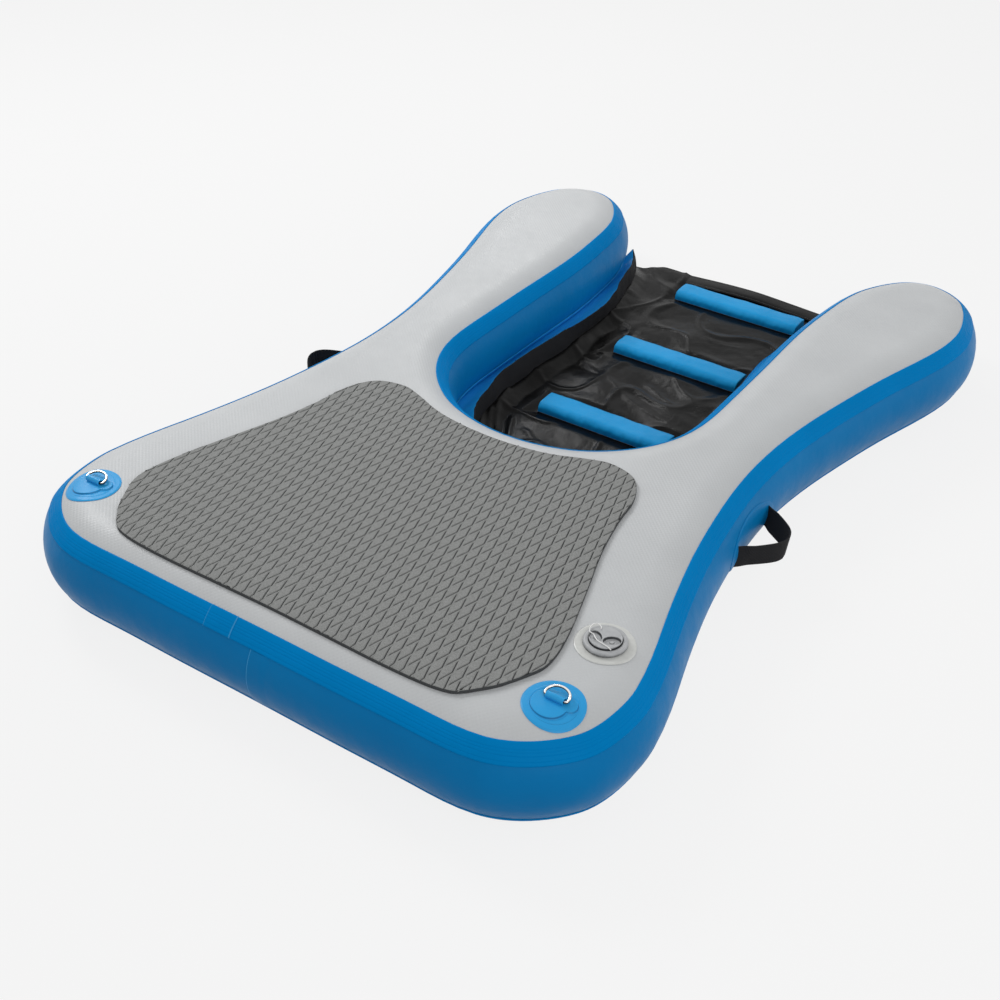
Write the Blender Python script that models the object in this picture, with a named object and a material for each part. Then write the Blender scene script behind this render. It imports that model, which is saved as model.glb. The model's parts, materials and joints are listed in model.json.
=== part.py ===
"""Inflatable dog water ramp: a drop-stitch deck with two arms, and a fabric ramp hung in the slot between them.

Metres, +Z up. X runs across the ramp, +Y from the dock edge to the arm tips, and the floor is Z=0.
Lengths called "from the dock" are measured along +Y from the dock edge.
"""

import math

import bmesh
import bpy
import numpy as np

# Gaps that keep touching pieces apart
GAP = 0.0003
DRAPE_GAP = 0.0006
CUT_OVERRUN = 0.004

# Hull: a flat deck and bottom joined by a half-round wall
HULL_THICKNESS = 0.150
DECK_LENGTH = 0.602
SLOT_LENGTH = 0.864
DOCK_HALF_WIDTH = 0.465
ARMS_HALF_WIDTH = 0.482
SLOT_HALF_WIDTH = 0.200
SKIN_THICKNESS = 0.0015
TAPE_THICKNESS = 0.0010
SEAM_ANGLE = math.radians(42)
TAPE_START_ANGLE = math.radians(34)
TAPE_END_ANGLE = math.radians(56)
MOST_TURN = math.radians(13)
LONGEST_CHORD = 0.120

# The arm's waist is set by the wall, because the two half-round walls have to fit in it
ARM_WAIST_SHARE = 1.173

# Half of the outline. Dock side: shares of the dock half width and of the deck length
DOCK_SHARES = ((0, 0), (0.41, 0), (0.742, 0.013), (0.942, 0.128), (1, 0.286))
# Towards the waist: shares of the way from the waist to the dock's side, and of the deck length
TAPER_SHARES = ((0.854, 0.442), (0.528, 0.623), (0.202, 0.847))
# Along the arm: shares of the way from the waist to the arm's side, and of the slot length
ARM_SHARES = ((0, 0.09), (0.094, 0.27), (0.481, 0.495), (0.925, 0.698), (0.964, 0.825))
# Round the tip: shares of the way from the slot's side to the arm's side, and of the slot length
TIP_SHARES = ((0.847, 0.945), (0.574, 0.996), (0.299, 0.969), (0.092, 0.866), (0.021, 0.738))
# Down the slot: shares of the slot half width and of the slot length
SLOT_SHARES = ((0.99, 0.6), (1, 0.38), (0.96, 0.162), (0.585, 0.0405), (0, 0))

# Traction pad
PAD_DOCK_MARGIN = 0.056
PAD_SLOT_MARGIN = 0.030
PAD_SIDE_MARGIN = 0.131
PAD_THICKNESS = 0.005
PAD_DRAPE_SHARE = 0.12
PAD_SHARES = (
    (0, 0), (0.7, 0), (0.868, 0.048), (0.973, 0.155), (1, 0.222), (0.973, 0.329), (0.898, 0.493),
    (0.823, 0.648), (0.778, 0.783), (0.754, 0.89), (0.683, 0.973), (0.554, 1), (0.449, 0.983),
    (0.299, 0.944), (0.15, 0.925), (0, 0.919),
)

# D-ring patches at the dock corners
PATCH_FROM_SIDE = 0.093
PATCH_FROM_DOCK = 0.115
PATCH_RADIUS = 0.038
PATCH_THICKNESS = 0.0010
COVER_RADIUS = 0.027
COVER_THICKNESS = 0.0010
SLEEVE_LENGTH = 0.0235
SLEEVE_WALL = 0.0014
SLEEVE_FROM_CENTRE = 0.003
RING_WIRE_RADIUS = 0.0020
RING_HALF_WIDTH = 0.015
RING_BOW_HEIGHT = 0.0105
RING_LEG = 0.004
RING_CORNER_SHARE = 0.625
RING_BORE_CLEARANCE = 0.0004
RING_REST_TILT = math.radians(12)

# Valve
VALVE_FROM_SIDE = 0.097
VALVE_FROM_DOCK = 0.238
VALVE_PATCH_RADIUS = 0.038
VALVE_RIM_RADIUS = 0.0275
VALVE_RIM_HEIGHT = 0.006
VALVE_SHELF_HEIGHT = 0.0025
VALVE_RECESS_RADIUS = 0.0212
VALVE_BARREL_RADIUS = 0.0170
VALVE_BORE_RADIUS = 0.0135
VALVE_BARREL_LENGTH = 0.038
VALVE_SEAT_RADIUS = 0.0095
VALVE_SEAT_THICKNESS = 0.003
NUT_RADIUS = 0.026
NUT_HEIGHT = 0.008
POCKET_RADIUS = 0.0275
POCKET_DEPTH = 0.052
GUIDE_RING_WALL = 0.0014
GUIDE_HEIGHT = 0.008
GUIDE_HUB_RADIUS = 0.0046
GUIDE_SPOKE_WIDTH = 0.0022
GUIDE_SPOKES = 3
STEM_RADIUS = 0.0020
STEM_CLEARANCE = 0.0004
POPPET_DISC_RADIUS = 0.0115
POPPET_DISC_THICKNESS = 0.0028
POPPET_SEAL_THICKNESS = 0.0018
POPPET_BUTTON_RADIUS = 0.0060
POPPET_BUTTON_THICKNESS = 0.003
POPPET_BUTTON_DEPTH = 0.0032
SPRING_MEAN_RADIUS = 0.0038
SPRING_WIRE_RADIUS = 0.00045
SPRING_TURNS = 6
SPRING_POINTS_PER_TURN = 10
CAP_CLEARANCE = 0.0006
CAP_THICKNESS = 0.0026
CAP_GRIP_HEIGHT = 0.0022
CAP_GRIP_WIDTH = 0.0060
CAP_GASKET_THICKNESS = 0.0012
CAP_GASKET_WIDTH = 0.0050
CAP_SCOOP_RADIUS = 0.0085
CAP_SCOOP_DEPTH = 0.0016
TETHER_RADIUS = 0.0007
ROUND_SIDES = 32

# Carry handles at the waist
HANDLE_PAST_DECK = 0.040
HANDLE_HALF_SPAN = 0.0475
HANDLE_REACH = 0.043
HANDLE_HEIGHT = 0.070
WEBBING_WIDTH = 0.036
WEBBING_THICKNESS = 0.0020
HANDLE_ROOT_RADIUS = 0.004
HANDLE_ROOT_LEG = 0.010
HANDLE_PATCH_HALF_LENGTH = 0.080
HANDLE_PATCH_HALF_ANGLE = math.radians(29)
HANDLE_PATCH_THICKNESS = 0.0010

# Ramp hung in the slot
BAND_FROM_WALL = 0.025
BAND_THICKNESS = 0.0015
BAND_HEIGHT = 0.048
BAND_FOOT = 0.006
BAND_END_SHARE = 0.924
FLAP_ANGLE = math.radians(130)
FLAP_THICKNESS = 0.0012
FLAP_CLEARANCE = 0.0036
PIPING_HALF_LENGTH = 0.040
PIPING_THICKNESS = 0.003
FABRIC_THICKNESS = 0.0010
FABRIC_EDGE_REACH = 0.035
FABRIC_FOLD_HEIGHT = 0.005
FABRIC_FOLD_PITCH = 0.090
FABRIC_FOLD_SLANT_SHARE = 0.35
FABRIC_DOCK_HALF_WIDTH = 0.085
FABRIC_END_SHARE = 0.991
FABRIC_COLUMNS = 16
FABRIC_STEPS = 6
HEM_WIDTH = 0.036
HEM_THICKNESS = 0.0020
RUNG_COUNT = 3
RUNG_FIRST_SHARE = 0.308
RUNG_PITCH_SHARE = 0.295
RUNG_END_CLEARANCE = 0.082
RUNG_DEPTH = 0.040
RUNG_HEIGHT = 0.020
RUNG_WALL = 0.0010
RUNG_CORNER_POINTS = 4

WALL_RADIUS = HULL_THICKNESS / 2
DECK_Z = HULL_THICKNESS
PAD_LENGTH = DECK_LENGTH - PAD_DOCK_MARGIN - PAD_SLOT_MARGIN
PAD_HALF_WIDTH = DOCK_HALF_WIDTH - PAD_SIDE_MARGIN
PATCH_X = DOCK_HALF_WIDTH - PATCH_FROM_SIDE
VALVE_X = DOCK_HALF_WIDTH - VALVE_FROM_SIDE
HANDLE_FROM_DOCK = DECK_LENGTH + HANDLE_PAST_DECK
RUNG_PITCH = SLOT_LENGTH * RUNG_PITCH_SHARE
RUNG_HALF_LENGTH = SLOT_HALF_WIDTH - RUNG_END_CLEARANCE
SKIN_STEPS = 3
WALL_STEPS = 6
TAPE_STEPS = 2
TAPE_LOW = (WALL_RADIUS + GAP) / math.cos((TAPE_END_ANGLE - TAPE_START_ANGLE) / TAPE_STEPS / 2)
TAPE_TOP = TAPE_LOW + TAPE_THICKNESS
VALVE_STAND = DRAPE_GAP + PATCH_THICKNESS + GAP
FABRIC_EDGE_RISE = BAND_FOOT - GAP - FABRIC_THICKNESS
HINGE_Z = BAND_FOOT + BAND_HEIGHT - FLAP_THICKNESS

LIGHT_GREY = (0.60, 0.61, 0.63)
BLUE = (0.003, 0.15, 0.42)
BRIGHT_BLUE = (0.03, 0.27, 0.62)
PAD_GREY = (0.21, 0.22, 0.22)
BLACK = (0.012, 0.012, 0.013)
STEEL = (0.62, 0.60, 0.58)
VALVE_GREY = (0.46, 0.47, 0.48)
SEAL_BLACK = (0.02, 0.02, 0.02)
FOAM_WHITE = (0.75, 0.75, 0.73)
CORE_WHITE = (0.80, 0.80, 0.80)


def material(name, colour, roughness=0.5, metallic=0.0):
    found = bpy.data.materials.get(name)
    if found:
        return found
    made = bpy.data.materials.new(name)
    made.use_nodes = True
    shader = made.node_tree.nodes["Principled BSDF"]
    shader.inputs["Base Color"].default_value = (*colour, 1)
    shader.inputs["Roughness"].default_value = roughness
    shader.inputs["Metallic"].default_value = metallic
    return made


def add_object(name, bm, finish, smooth=True, place=(0, 0, 0), turn=(0, 0, 0)):
    """The bmesh as a closed, outward-facing object."""
    bmesh.ops.recalc_face_normals(bm, faces=bm.faces)
    mesh = bpy.data.meshes.new(name)
    bm.to_mesh(mesh)
    bm.free()
    if smooth:
        mesh.shade_smooth()
        mesh.set_sharp_from_angle(angle=math.radians(35))
    made = bpy.data.objects.new(name, mesh)
    made.data.materials.append(finish)
    made.location = place
    made.rotation_euler = turn
    bpy.context.collection.objects.link(made)
    return made


def loft(rings, wrap=False):
    """A closed bmesh through rings of points: capped at its two ends, or its last ring joined to its first."""
    bm = bmesh.new()
    rows = [[bm.verts.new(point) for point in ring] for ring in rings]
    pairs = list(zip(rows, rows[1:]))
    if wrap:
        pairs.append((rows[-1], rows[0]))
    else:
        bm.faces.new(rows[0])
        bm.faces.new(reversed(rows[-1]))
    for low, high in pairs:
        for i in range(len(low)):
            j = (i + 1) % len(low)
            bm.faces.new((low[i], low[j], high[j], high[i]))
    return bm


def turned(profile, centre, sides=ROUND_SIDES, wrap=True):
    """A profile of (radius, height) turned about a vertical axis; with wrap it is closed, and so has a bore."""
    rings = []
    for radius, height in profile:
        angles = [2 * math.pi * i / sides for i in range(sides)]
        rings.append(
            [(centre[0] + radius * math.cos(a), centre[1] + radius * math.sin(a), height) for a in angles]
        )
    return loft(rings, wrap)


def washer(inner, outer, low, high, centre):
    return turned(((inner, low), (outer, low), (outer, high), (inner, high)), centre)


def disc(radius, low, high, centre):
    return turned(((radius, low), (radius, high)), centre, wrap=False)


def tube(name, points, radius, finish, resolution=1, cyclic=False, place=(0, 0, 0), turn=(0, 0, 0)):
    """A round bar along points."""
    curve = bpy.data.curves.new(name, "CURVE")
    curve.dimensions = "3D"
    curve.bevel_depth = radius
    curve.bevel_resolution = resolution
    curve.use_fill_caps = not cyclic
    spline = curve.splines.new("POLY")
    spline.points.add(len(points) - 1)
    for spot, point in zip(spline.points, points):
        spot.co = (*point, 1)
    spline.use_cyclic_u = cyclic
    spline.use_smooth = True
    made = bpy.data.objects.new(name, curve)
    made.data.materials.append(finish)
    made.location = place
    made.rotation_euler = turn
    bpy.context.collection.objects.link(made)
    return made


def hang(name, point, members):
    """Parents pieces that move together to an empty on their joint's axis."""
    axis = bpy.data.objects.new(name, None)
    axis.location = point
    bpy.context.collection.objects.link(axis)
    for member in members:
        member.location = [-value for value in point]
        member.parent = axis


def boolean(target, cutter, operation="DIFFERENCE"):
    cutter.hide_render = True
    cutter.display_type = "WIRE"
    modifier = target.modifiers.new(operation.title(), "BOOLEAN")
    modifier.operation = operation
    modifier.object = cutter
    modifier.solver = "EXACT"


def smooth_curve(points, steps, closed):
    """Catmull-Rom points and their tangents through the given points."""
    points = np.asarray(points, float)
    count = len(points)
    places, tangents = [], []
    for i in range(count if closed else count - 1):
        if closed:
            a, b, c, d = (points[(i + k) % count] for k in (-1, 0, 1, 2))
        else:
            a, b, c, d = (points[min(max(i + k, 0), count - 1)] for k in (-1, 0, 1, 2))
        slope = c - a
        bend = 2 * a - 5 * b + 4 * c - d
        twist = 3 * b - a - 3 * c + d
        for t in np.arange(steps) / steps:
            places.append((2 * b + slope * t + bend * t**2 + twist * t**3) / 2)
            tangents.append((slope + 2 * bend * t + 3 * twist * t**2) / 2)
    if not closed:
        places.append(points[-1])
        tangents.append(points[-1] - points[-2])
    return np.array(places), np.array(tangents)


def mirrored(half):
    """A half outline from one point on X=0 to another, made whole."""
    other = np.array(half[1:-1])[::-1] * (-1, 1)
    return np.concatenate([half, other])


def thinned(places, tangents):
    """The fewest points that turn no more than MOST_TURN and reach no further than LONGEST_CHORD each."""
    kept = [0]
    turn, run = 0.0, 0.0
    for i in range(1, len(places)):
        before, now = tangents[i - 1], tangents[i]
        turn += abs(math.atan2(before[0] * now[1] - before[1] * now[0], float(before @ now)))
        run += float(np.linalg.norm(places[i] - places[i - 1]))
        if turn >= MOST_TURN or run >= LONGEST_CHORD:
            kept.append(i)
            turn, run = 0.0, 0.0
    if len(places) - 1 not in kept:
        kept[-1] = len(places) - 1
    return kept


def half_controls():
    """The hull outline's own points, from the dock edge's middle round one arm to the slot's middle."""
    waist = SLOT_HALF_WIDTH + ARM_WAIST_SHARE * HULL_THICKNESS
    points = [(x * DOCK_HALF_WIDTH, y * DECK_LENGTH) for x, y in DOCK_SHARES]
    points += [(waist + x * (DOCK_HALF_WIDTH - waist), y * DECK_LENGTH) for x, y in TAPER_SHARES]
    points += [(waist + x * (ARMS_HALF_WIDTH - waist), DECK_LENGTH + y * SLOT_LENGTH) for x, y in ARM_SHARES]
    points += [
        (SLOT_HALF_WIDTH + x * (ARMS_HALF_WIDTH - SLOT_HALF_WIDTH), DECK_LENGTH + y * SLOT_LENGTH)
        for x, y in TIP_SHARES
    ]
    points += [(x * SLOT_HALF_WIDTH, DECK_LENGTH + y * SLOT_LENGTH) for x, y in SLOT_SHARES]
    return points


def outline_with_normals():
    """The hull's outermost outline, its outward normals and how far Y=0 lies from the dock."""
    steps = 24
    half = half_controls()
    places, tangents = smooth_curve(mirrored(np.array(half)), steps, closed=True)
    last = (len(half) - 1) * steps
    places, tangents = places[: last + 1], tangents[: last + 1]
    kept = thinned(places, tangents)
    middle = (places[:, 1].max() + places[:, 1].min()) / 2
    places, tangents = places[kept] - (0, middle), tangents[kept]
    normals = np.stack([tangents[:, 1], -tangents[:, 0]], 1)
    normals /= np.linalg.norm(normals, axis=1)[:, None]
    normals[0], normals[-1] = (0, -1), (0, 1)
    places[0, 0] = places[-1, 0] = 0
    return mirrored(places), mirrored(normals), middle, len(places)


OUTLINE, NORMALS, DOCK_TO_ORIGIN, HALF_COUNT = outline_with_normals()
CENTRE_LINE = OUTLINE - NORMALS * WALL_RADIUS


def from_dock(distance):
    """The Y of a place that lies so far from the dock edge."""
    return distance - DOCK_TO_ORIGIN


def wall_ring(radius, angle):
    """The points all round the hull at an angle from the top of its half-round wall."""
    plan = CENTRE_LINE + NORMALS * radius * math.sin(angle)
    height = WALL_RADIUS + radius * math.cos(angle)
    return [(x, y, height) for x, y in plan]


def off_flat(x, y):
    """How far a plan point lies outside the hull's flat top."""
    starts, ends = CENTRE_LINE, np.roll(CENTRE_LINE, -1, axis=0)
    spot = np.array((x, y))
    along = ends - starts
    share = np.clip(((spot - starts) * along).sum(1) / (along**2).sum(1), 0, 1)
    nearest = starts + along * share[:, None]
    distance = float(np.linalg.norm(spot - nearest, axis=1).min())
    crossing = (starts[:, 1] > y) != (ends[:, 1] > y)
    meets = starts[:, 0] + (y - starts[:, 1]) * along[:, 0] / np.where(crossing, along[:, 1], 1)
    inside = np.count_nonzero(crossing & (meets > x)) % 2
    return 0.0 if inside else distance


def deck_height(x, y, lift):
    """The height of a surface that lies lift above the hull's top, and follows it over the edge."""
    radius = WALL_RADIUS + lift
    return WALL_RADIUS + math.sqrt(max(radius**2 - off_flat(x, y) ** 2, 0))


def draped_ring(points, lift):
    return [(x, y, deck_height(x, y, lift)) for x, y in points]


def circle(centre, radius, sides=ROUND_SIDES):
    turns = [2 * math.pi * i / sides for i in range(sides)]
    return [(centre[0] + radius * math.cos(turn), centre[1] + radius * math.sin(turn)) for turn in turns]


def wall_angles(start, end, steps):
    return [start + (end - start) * i / steps for i in range(steps + 1)]


def build_core():
    """A solid that stands in for the air and the threads that hold the deck and the bottom together."""
    radius = WALL_RADIUS - SKIN_THICKNESS - GAP
    over = wall_angles(0, SEAM_ANGLE, SKIN_STEPS)
    beside = wall_angles(SEAM_ANGLE, math.pi - SEAM_ANGLE, WALL_STEPS)
    under = [math.pi - angle for angle in reversed(over)]
    rings = [wall_ring(radius, angle) for angle in over + beside[1:-1] + under]
    core = add_object("drop_stitch_core", loft(rings), material("drop_stitch", CORE_WHITE, 0.9))
    top = WALL_RADIUS + radius
    pocket = add_object(
        "valve_pocket_cutter",
        disc(POCKET_RADIUS, DECK_Z - POCKET_DEPTH, top + CUT_OVERRUN, (VALVE_X, from_dock(VALVE_FROM_DOCK))),
        material("cutter", BLACK),
    )
    boolean(core, pocket)


def skin(name, on_top, finish):
    """The deck or the bottom: a sheet that turns over the edge as far as the seam."""
    outer, inner = WALL_RADIUS, WALL_RADIUS - SKIN_THICKNESS
    angles = wall_angles(0, SEAM_ANGLE, SKIN_STEPS)
    rings = [wall_ring(outer, angle) for angle in angles]
    rings += [wall_ring(inner, angle) for angle in reversed(angles)]
    if not on_top:
        rings = [[(x, y, HULL_THICKNESS - z) for x, y, z in ring] for ring in rings]
    return add_object(name, loft(rings), finish)


def build_skins():
    top = skin("top_skin", True, material("grey_skin", LIGHT_GREY, 0.45))
    hole = add_object(
        "skin_hole_cutter",
        disc(
            VALVE_BARREL_RADIUS + GAP,
            DECK_Z - SKIN_THICKNESS - CUT_OVERRUN,
            DECK_Z + CUT_OVERRUN,
            (VALVE_X, from_dock(VALVE_FROM_DOCK)),
        ),
        material("cutter", BLACK),
    )
    boolean(top, hole)
    skin("bottom_skin", False, material("grey_skin", LIGHT_GREY, 0.45))


def wall_strip(name, start, end, steps, low, thickness, finish):
    """A strip right round the hull's wall, between two angles from the top."""
    angles = wall_angles(start, end, steps)
    rings = [wall_ring(low + thickness, angle) for angle in angles]
    rings += [wall_ring(low, angle) for angle in reversed(angles)]
    return add_object(name, loft(rings, wrap=True), finish)


def build_wall():
    blue = material("blue_wall", BLUE, 0.35)
    seam_gap = GAP / WALL_RADIUS
    wall_strip(
        "side_wall",
        SEAM_ANGLE + seam_gap,
        math.pi - SEAM_ANGLE - seam_gap,
        WALL_STEPS,
        WALL_RADIUS - SKIN_THICKNESS,
        SKIN_THICKNESS,
        blue,
    )
    wall_strip("top_seam_tape", TAPE_START_ANGLE, TAPE_END_ANGLE, TAPE_STEPS, TAPE_LOW, TAPE_THICKNESS, blue)
    wall_strip(
        "bottom_seam_tape",
        math.pi - TAPE_END_ANGLE,
        math.pi - TAPE_START_ANGLE,
        TAPE_STEPS,
        TAPE_LOW,
        TAPE_THICKNESS,
        blue,
    )


def build_pad():
    half = [(x * PAD_HALF_WIDTH, y * PAD_LENGTH + PAD_DOCK_MARGIN) for x, y in PAD_SHARES]
    half = [(x, from_dock(y)) for x, y in half]
    places, _ = smooth_curve(mirrored(np.array(half)), 3, closed=True)
    centre = np.array((0, from_dock(PAD_DOCK_MARGIN + PAD_LENGTH / 2)))
    low, high = [], []
    for step in (3, 2, 1, 0):
        ring = centre + (places - centre) * (1 - PAD_DRAPE_SHARE * step / 3)
        low.append(draped_ring(ring, DRAPE_GAP))
        high.append(draped_ring(ring, DRAPE_GAP + PAD_THICKNESS))
    add_object("traction_pad", loft(low + high[::-1]), material("pad_foam", PAD_GREY, 0.85))


def draped_disc(name, centre, radius, lift, thickness, finish, hole=0.0):
    """A round patch that follows the hull's top and its edge."""
    shares = (0.25, 0.5, 0.75, 1)
    radii = [hole + (radius - hole) * share for share in shares]
    if hole:
        radii.insert(0, hole)
    low = [draped_ring(circle(centre, r), lift) for r in radii]
    high = [draped_ring(circle(centre, r), lift + thickness) for r in radii]
    return add_object(name, loft(low + high[::-1], wrap=bool(hole)), finish)


def ring_outline():
    """The D-ring's centre line in its own plane: the bar on X, the bow above it."""
    corner = RING_LEG * RING_CORNER_SHARE
    points = [(-RING_HALF_WIDTH + corner, 0), (RING_HALF_WIDTH - corner, 0)]
    for angle in (-60, -30):
        turn = math.radians(angle)
        points.append(
            (RING_HALF_WIDTH - corner + corner * math.cos(turn), corner + corner * math.sin(turn))
        )
    points.append((RING_HALF_WIDTH, corner))
    bow = 14
    for i in range(bow + 1):
        turn = math.pi * i / bow
        points.append((RING_HALF_WIDTH * math.cos(turn), RING_LEG + RING_BOW_HEIGHT * math.sin(turn)))
    points.append((-RING_HALF_WIDTH, corner))
    for angle in (210, 240):
        turn = math.radians(angle)
        points.append(
            (-RING_HALF_WIDTH + corner + corner * math.cos(turn), corner + corner * math.sin(turn))
        )
    return [(x, 0, z) for x, z in points]


def sleeve_outer_radius():
    return RING_WIRE_RADIUS + RING_BORE_CLEARANCE + SLEEVE_WALL


def ring_axis_height():
    return DECK_Z + DRAPE_GAP + PATCH_THICKNESS + GAP + COVER_THICKNESS + GAP + sleeve_outer_radius()


def build_sleeve(name, centre, axis_height, finish):
    """The loop that holds the D-ring's bar: a tube with a flat foot."""
    outer = sleeve_outer_radius()
    bore = RING_WIRE_RADIUS + RING_BORE_CLEARANCE
    sides = 16
    outside, inside = [], []
    for i in range(sides):
        turn = 2 * math.pi * i / sides
        y, z = outer * math.cos(turn), outer * math.sin(turn)
        if z < 0:
            reach = outer / max(abs(math.cos(turn)), abs(math.sin(turn)))
            y, z = reach * math.cos(turn), reach * math.sin(turn)
        outside.append((y, z))
        grown = bore / math.cos(math.pi / sides)
        inside.append((grown * math.cos(turn), grown * math.sin(turn)))
    ends = (centre[0] - SLEEVE_LENGTH / 2, centre[0] + SLEEVE_LENGTH / 2)
    rings = [
        [(ends[0], centre[1] + y, axis_height + z) for y, z in outside],
        [(ends[1], centre[1] + y, axis_height + z) for y, z in outside],
        [(ends[1], centre[1] + y, axis_height + z) for y, z in inside],
        [(ends[0], centre[1] + y, axis_height + z) for y, z in inside],
    ]
    add_object(name, loft(rings, wrap=True), finish)


def build_tether_point(side, sign):
    """One dock corner's patch, cover, sleeve and D-ring."""
    patch_blue = material("patch_blue", BRIGHT_BLUE, 0.3)
    centre = (sign * PATCH_X, from_dock(PATCH_FROM_DOCK))
    draped_disc(f"{side}_d_ring_patch", centre, PATCH_RADIUS, DRAPE_GAP, PATCH_THICKNESS, patch_blue)
    lift = DRAPE_GAP + PATCH_THICKNESS + GAP
    draped_disc(f"{side}_d_ring_cover", centre, COVER_RADIUS, lift, COVER_THICKNESS, patch_blue)
    axis = (centre[0], centre[1] + SLEEVE_FROM_CENTRE)
    height = ring_axis_height()
    build_sleeve(f"{side}_d_ring_sleeve", axis, height, patch_blue)
    tube(
        f"{side}_d_ring",
        ring_outline(),
        RING_WIRE_RADIUS,
        material("steel", STEEL, 0.15, 1.0),
        resolution=2,
        cyclic=True,
        place=(*axis, height),
        turn=(RING_REST_TILT - math.pi / 2, 0, 0),
    )


def build_valve():
    grey = material("valve_plastic", VALVE_GREY, 0.4)
    seal = material("seal_rubber", SEAL_BLACK, 0.7)
    centre = (VALVE_X, from_dock(VALVE_FROM_DOCK))
    base = DECK_Z + VALVE_STAND
    rim = base + VALVE_RIM_HEIGHT
    shelf = base + VALVE_SHELF_HEIGHT
    foot = base - VALVE_BARREL_LENGTH
    seat_top = foot + VALVE_SEAT_THICKNESS
    draped_disc(
        "valve_patch",
        centre,
        VALVE_PATCH_RADIUS,
        DRAPE_GAP,
        PATCH_THICKNESS,
        material("grey_patch", LIGHT_GREY, 0.4),
        hole=VALVE_BARREL_RADIUS + GAP,
    )
    body = turned(
        (
            (VALVE_BARREL_RADIUS, foot),
            (VALVE_BARREL_RADIUS, base),
            (VALVE_RIM_RADIUS, base),
            (VALVE_RIM_RADIUS, rim - VALVE_RIM_HEIGHT / 3),
            (VALVE_RIM_RADIUS - VALVE_RIM_HEIGHT / 4, rim),
            (VALVE_RECESS_RADIUS, rim),
            (VALVE_RECESS_RADIUS, shelf),
            (VALVE_BORE_RADIUS, shelf),
            (VALVE_BORE_RADIUS, seat_top),
            (VALVE_SEAT_RADIUS, seat_top),
            (VALVE_SEAT_RADIUS, foot),
        ),
        centre,
    )
    add_object("valve_body", body, grey)
    nut_top = min(z for _, _, z in draped_ring(circle(centre, NUT_RADIUS), -SKIN_THICKNESS)) - DRAPE_GAP
    add_object(
        "valve_nut",
        washer(VALVE_BARREL_RADIUS + GAP, NUT_RADIUS, nut_top - NUT_HEIGHT, nut_top, centre),
        grey,
    )
    build_valve_guide(centre, seat_top + GAP, grey)
    build_poppet(centre, foot, shelf, seat_top, grey, seal)
    build_cap(centre, rim, shelf, grey, seal)


def build_valve_guide(centre, low, finish):
    """The spoked hub that the poppet's stem slides in."""
    high = low + GUIDE_HEIGHT
    outer = VALVE_BORE_RADIUS - GAP
    ring = add_object("valve_guide", washer(outer - GUIDE_RING_WALL, outer, low, high, centre), finish)
    hub = washer(STEM_RADIUS + STEM_CLEARANCE, GUIDE_HUB_RADIUS, low, high, centre)
    boolean(ring, add_object("valve_hub_part", hub, finish), "UNION")
    reach = outer - GUIDE_RING_WALL / 2
    start = (STEM_RADIUS + STEM_CLEARANCE + GUIDE_HUB_RADIUS) / 2
    for i in range(GUIDE_SPOKES):
        turn = 2 * math.pi * i / GUIDE_SPOKES
        out = np.array((math.cos(turn), math.sin(turn)))
        across = np.array((-out[1], out[0])) * GUIDE_SPOKE_WIDTH / 2
        corners = [
            np.array(centre) + out * distance + across * hand
            for distance, hand in ((start, -1), (reach, -1), (reach, 1), (start, 1))
        ]
        levels = (low + GUIDE_HEIGHT / 4, high - GUIDE_HEIGHT / 4)
        rings = [[(*corner, z) for corner in corners] for z in levels]
        boolean(ring, add_object(f"valve_spoke_part_{i + 1}", loft(rings), finish, smooth=False), "UNION")


def build_poppet(centre, foot, shelf, seat_top, finish, seal):
    """The stem with its disc under the seat and its button under the cap, the seal and the spring."""
    disc_top = foot - GAP - POPPET_SEAL_THICKNESS - GAP
    button_top = shelf - POPPET_BUTTON_DEPTH
    button_low = button_top - POPPET_BUTTON_THICKNESS
    profile = (
        (POPPET_DISC_RADIUS, disc_top - POPPET_DISC_THICKNESS),
        (POPPET_DISC_RADIUS, disc_top),
        (STEM_RADIUS, disc_top),
        (STEM_RADIUS, button_low),
        (POPPET_BUTTON_RADIUS, button_low),
        (POPPET_BUTTON_RADIUS, button_top),
    )
    poppet = add_object("valve_poppet", turned(profile, centre, wrap=False), finish)
    ring = add_object(
        "valve_poppet_seal",
        washer(STEM_RADIUS + GAP, POPPET_DISC_RADIUS, disc_top + GAP, foot - GAP, centre),
        seal,
    )
    hang("valve_poppet_axis", (*centre, foot), (poppet, ring))
    low = seat_top + GAP + GUIDE_HEIGHT + GAP + SPRING_WIRE_RADIUS
    high = button_low - GAP - SPRING_WIRE_RADIUS
    count = SPRING_TURNS * SPRING_POINTS_PER_TURN
    points = []
    for i in range(count + 1):
        turn = 2 * math.pi * i / SPRING_POINTS_PER_TURN
        points.append(
            (
                centre[0] + SPRING_MEAN_RADIUS * math.cos(turn),
                centre[1] + SPRING_MEAN_RADIUS * math.sin(turn),
                low + (high - low) * i / count,
            )
        )
    spots = np.array(points)
    apart = np.linalg.norm(spots[SPRING_POINTS_PER_TURN:] - spots[:-SPRING_POINTS_PER_TURN], axis=1)
    print(f"valve_spring: least gap between turns {apart.min() - 2 * SPRING_WIRE_RADIUS:.5f} m")
    tube("valve_spring", points, SPRING_WIRE_RADIUS, material("steel", STEEL, 0.15, 1.0))


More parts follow.
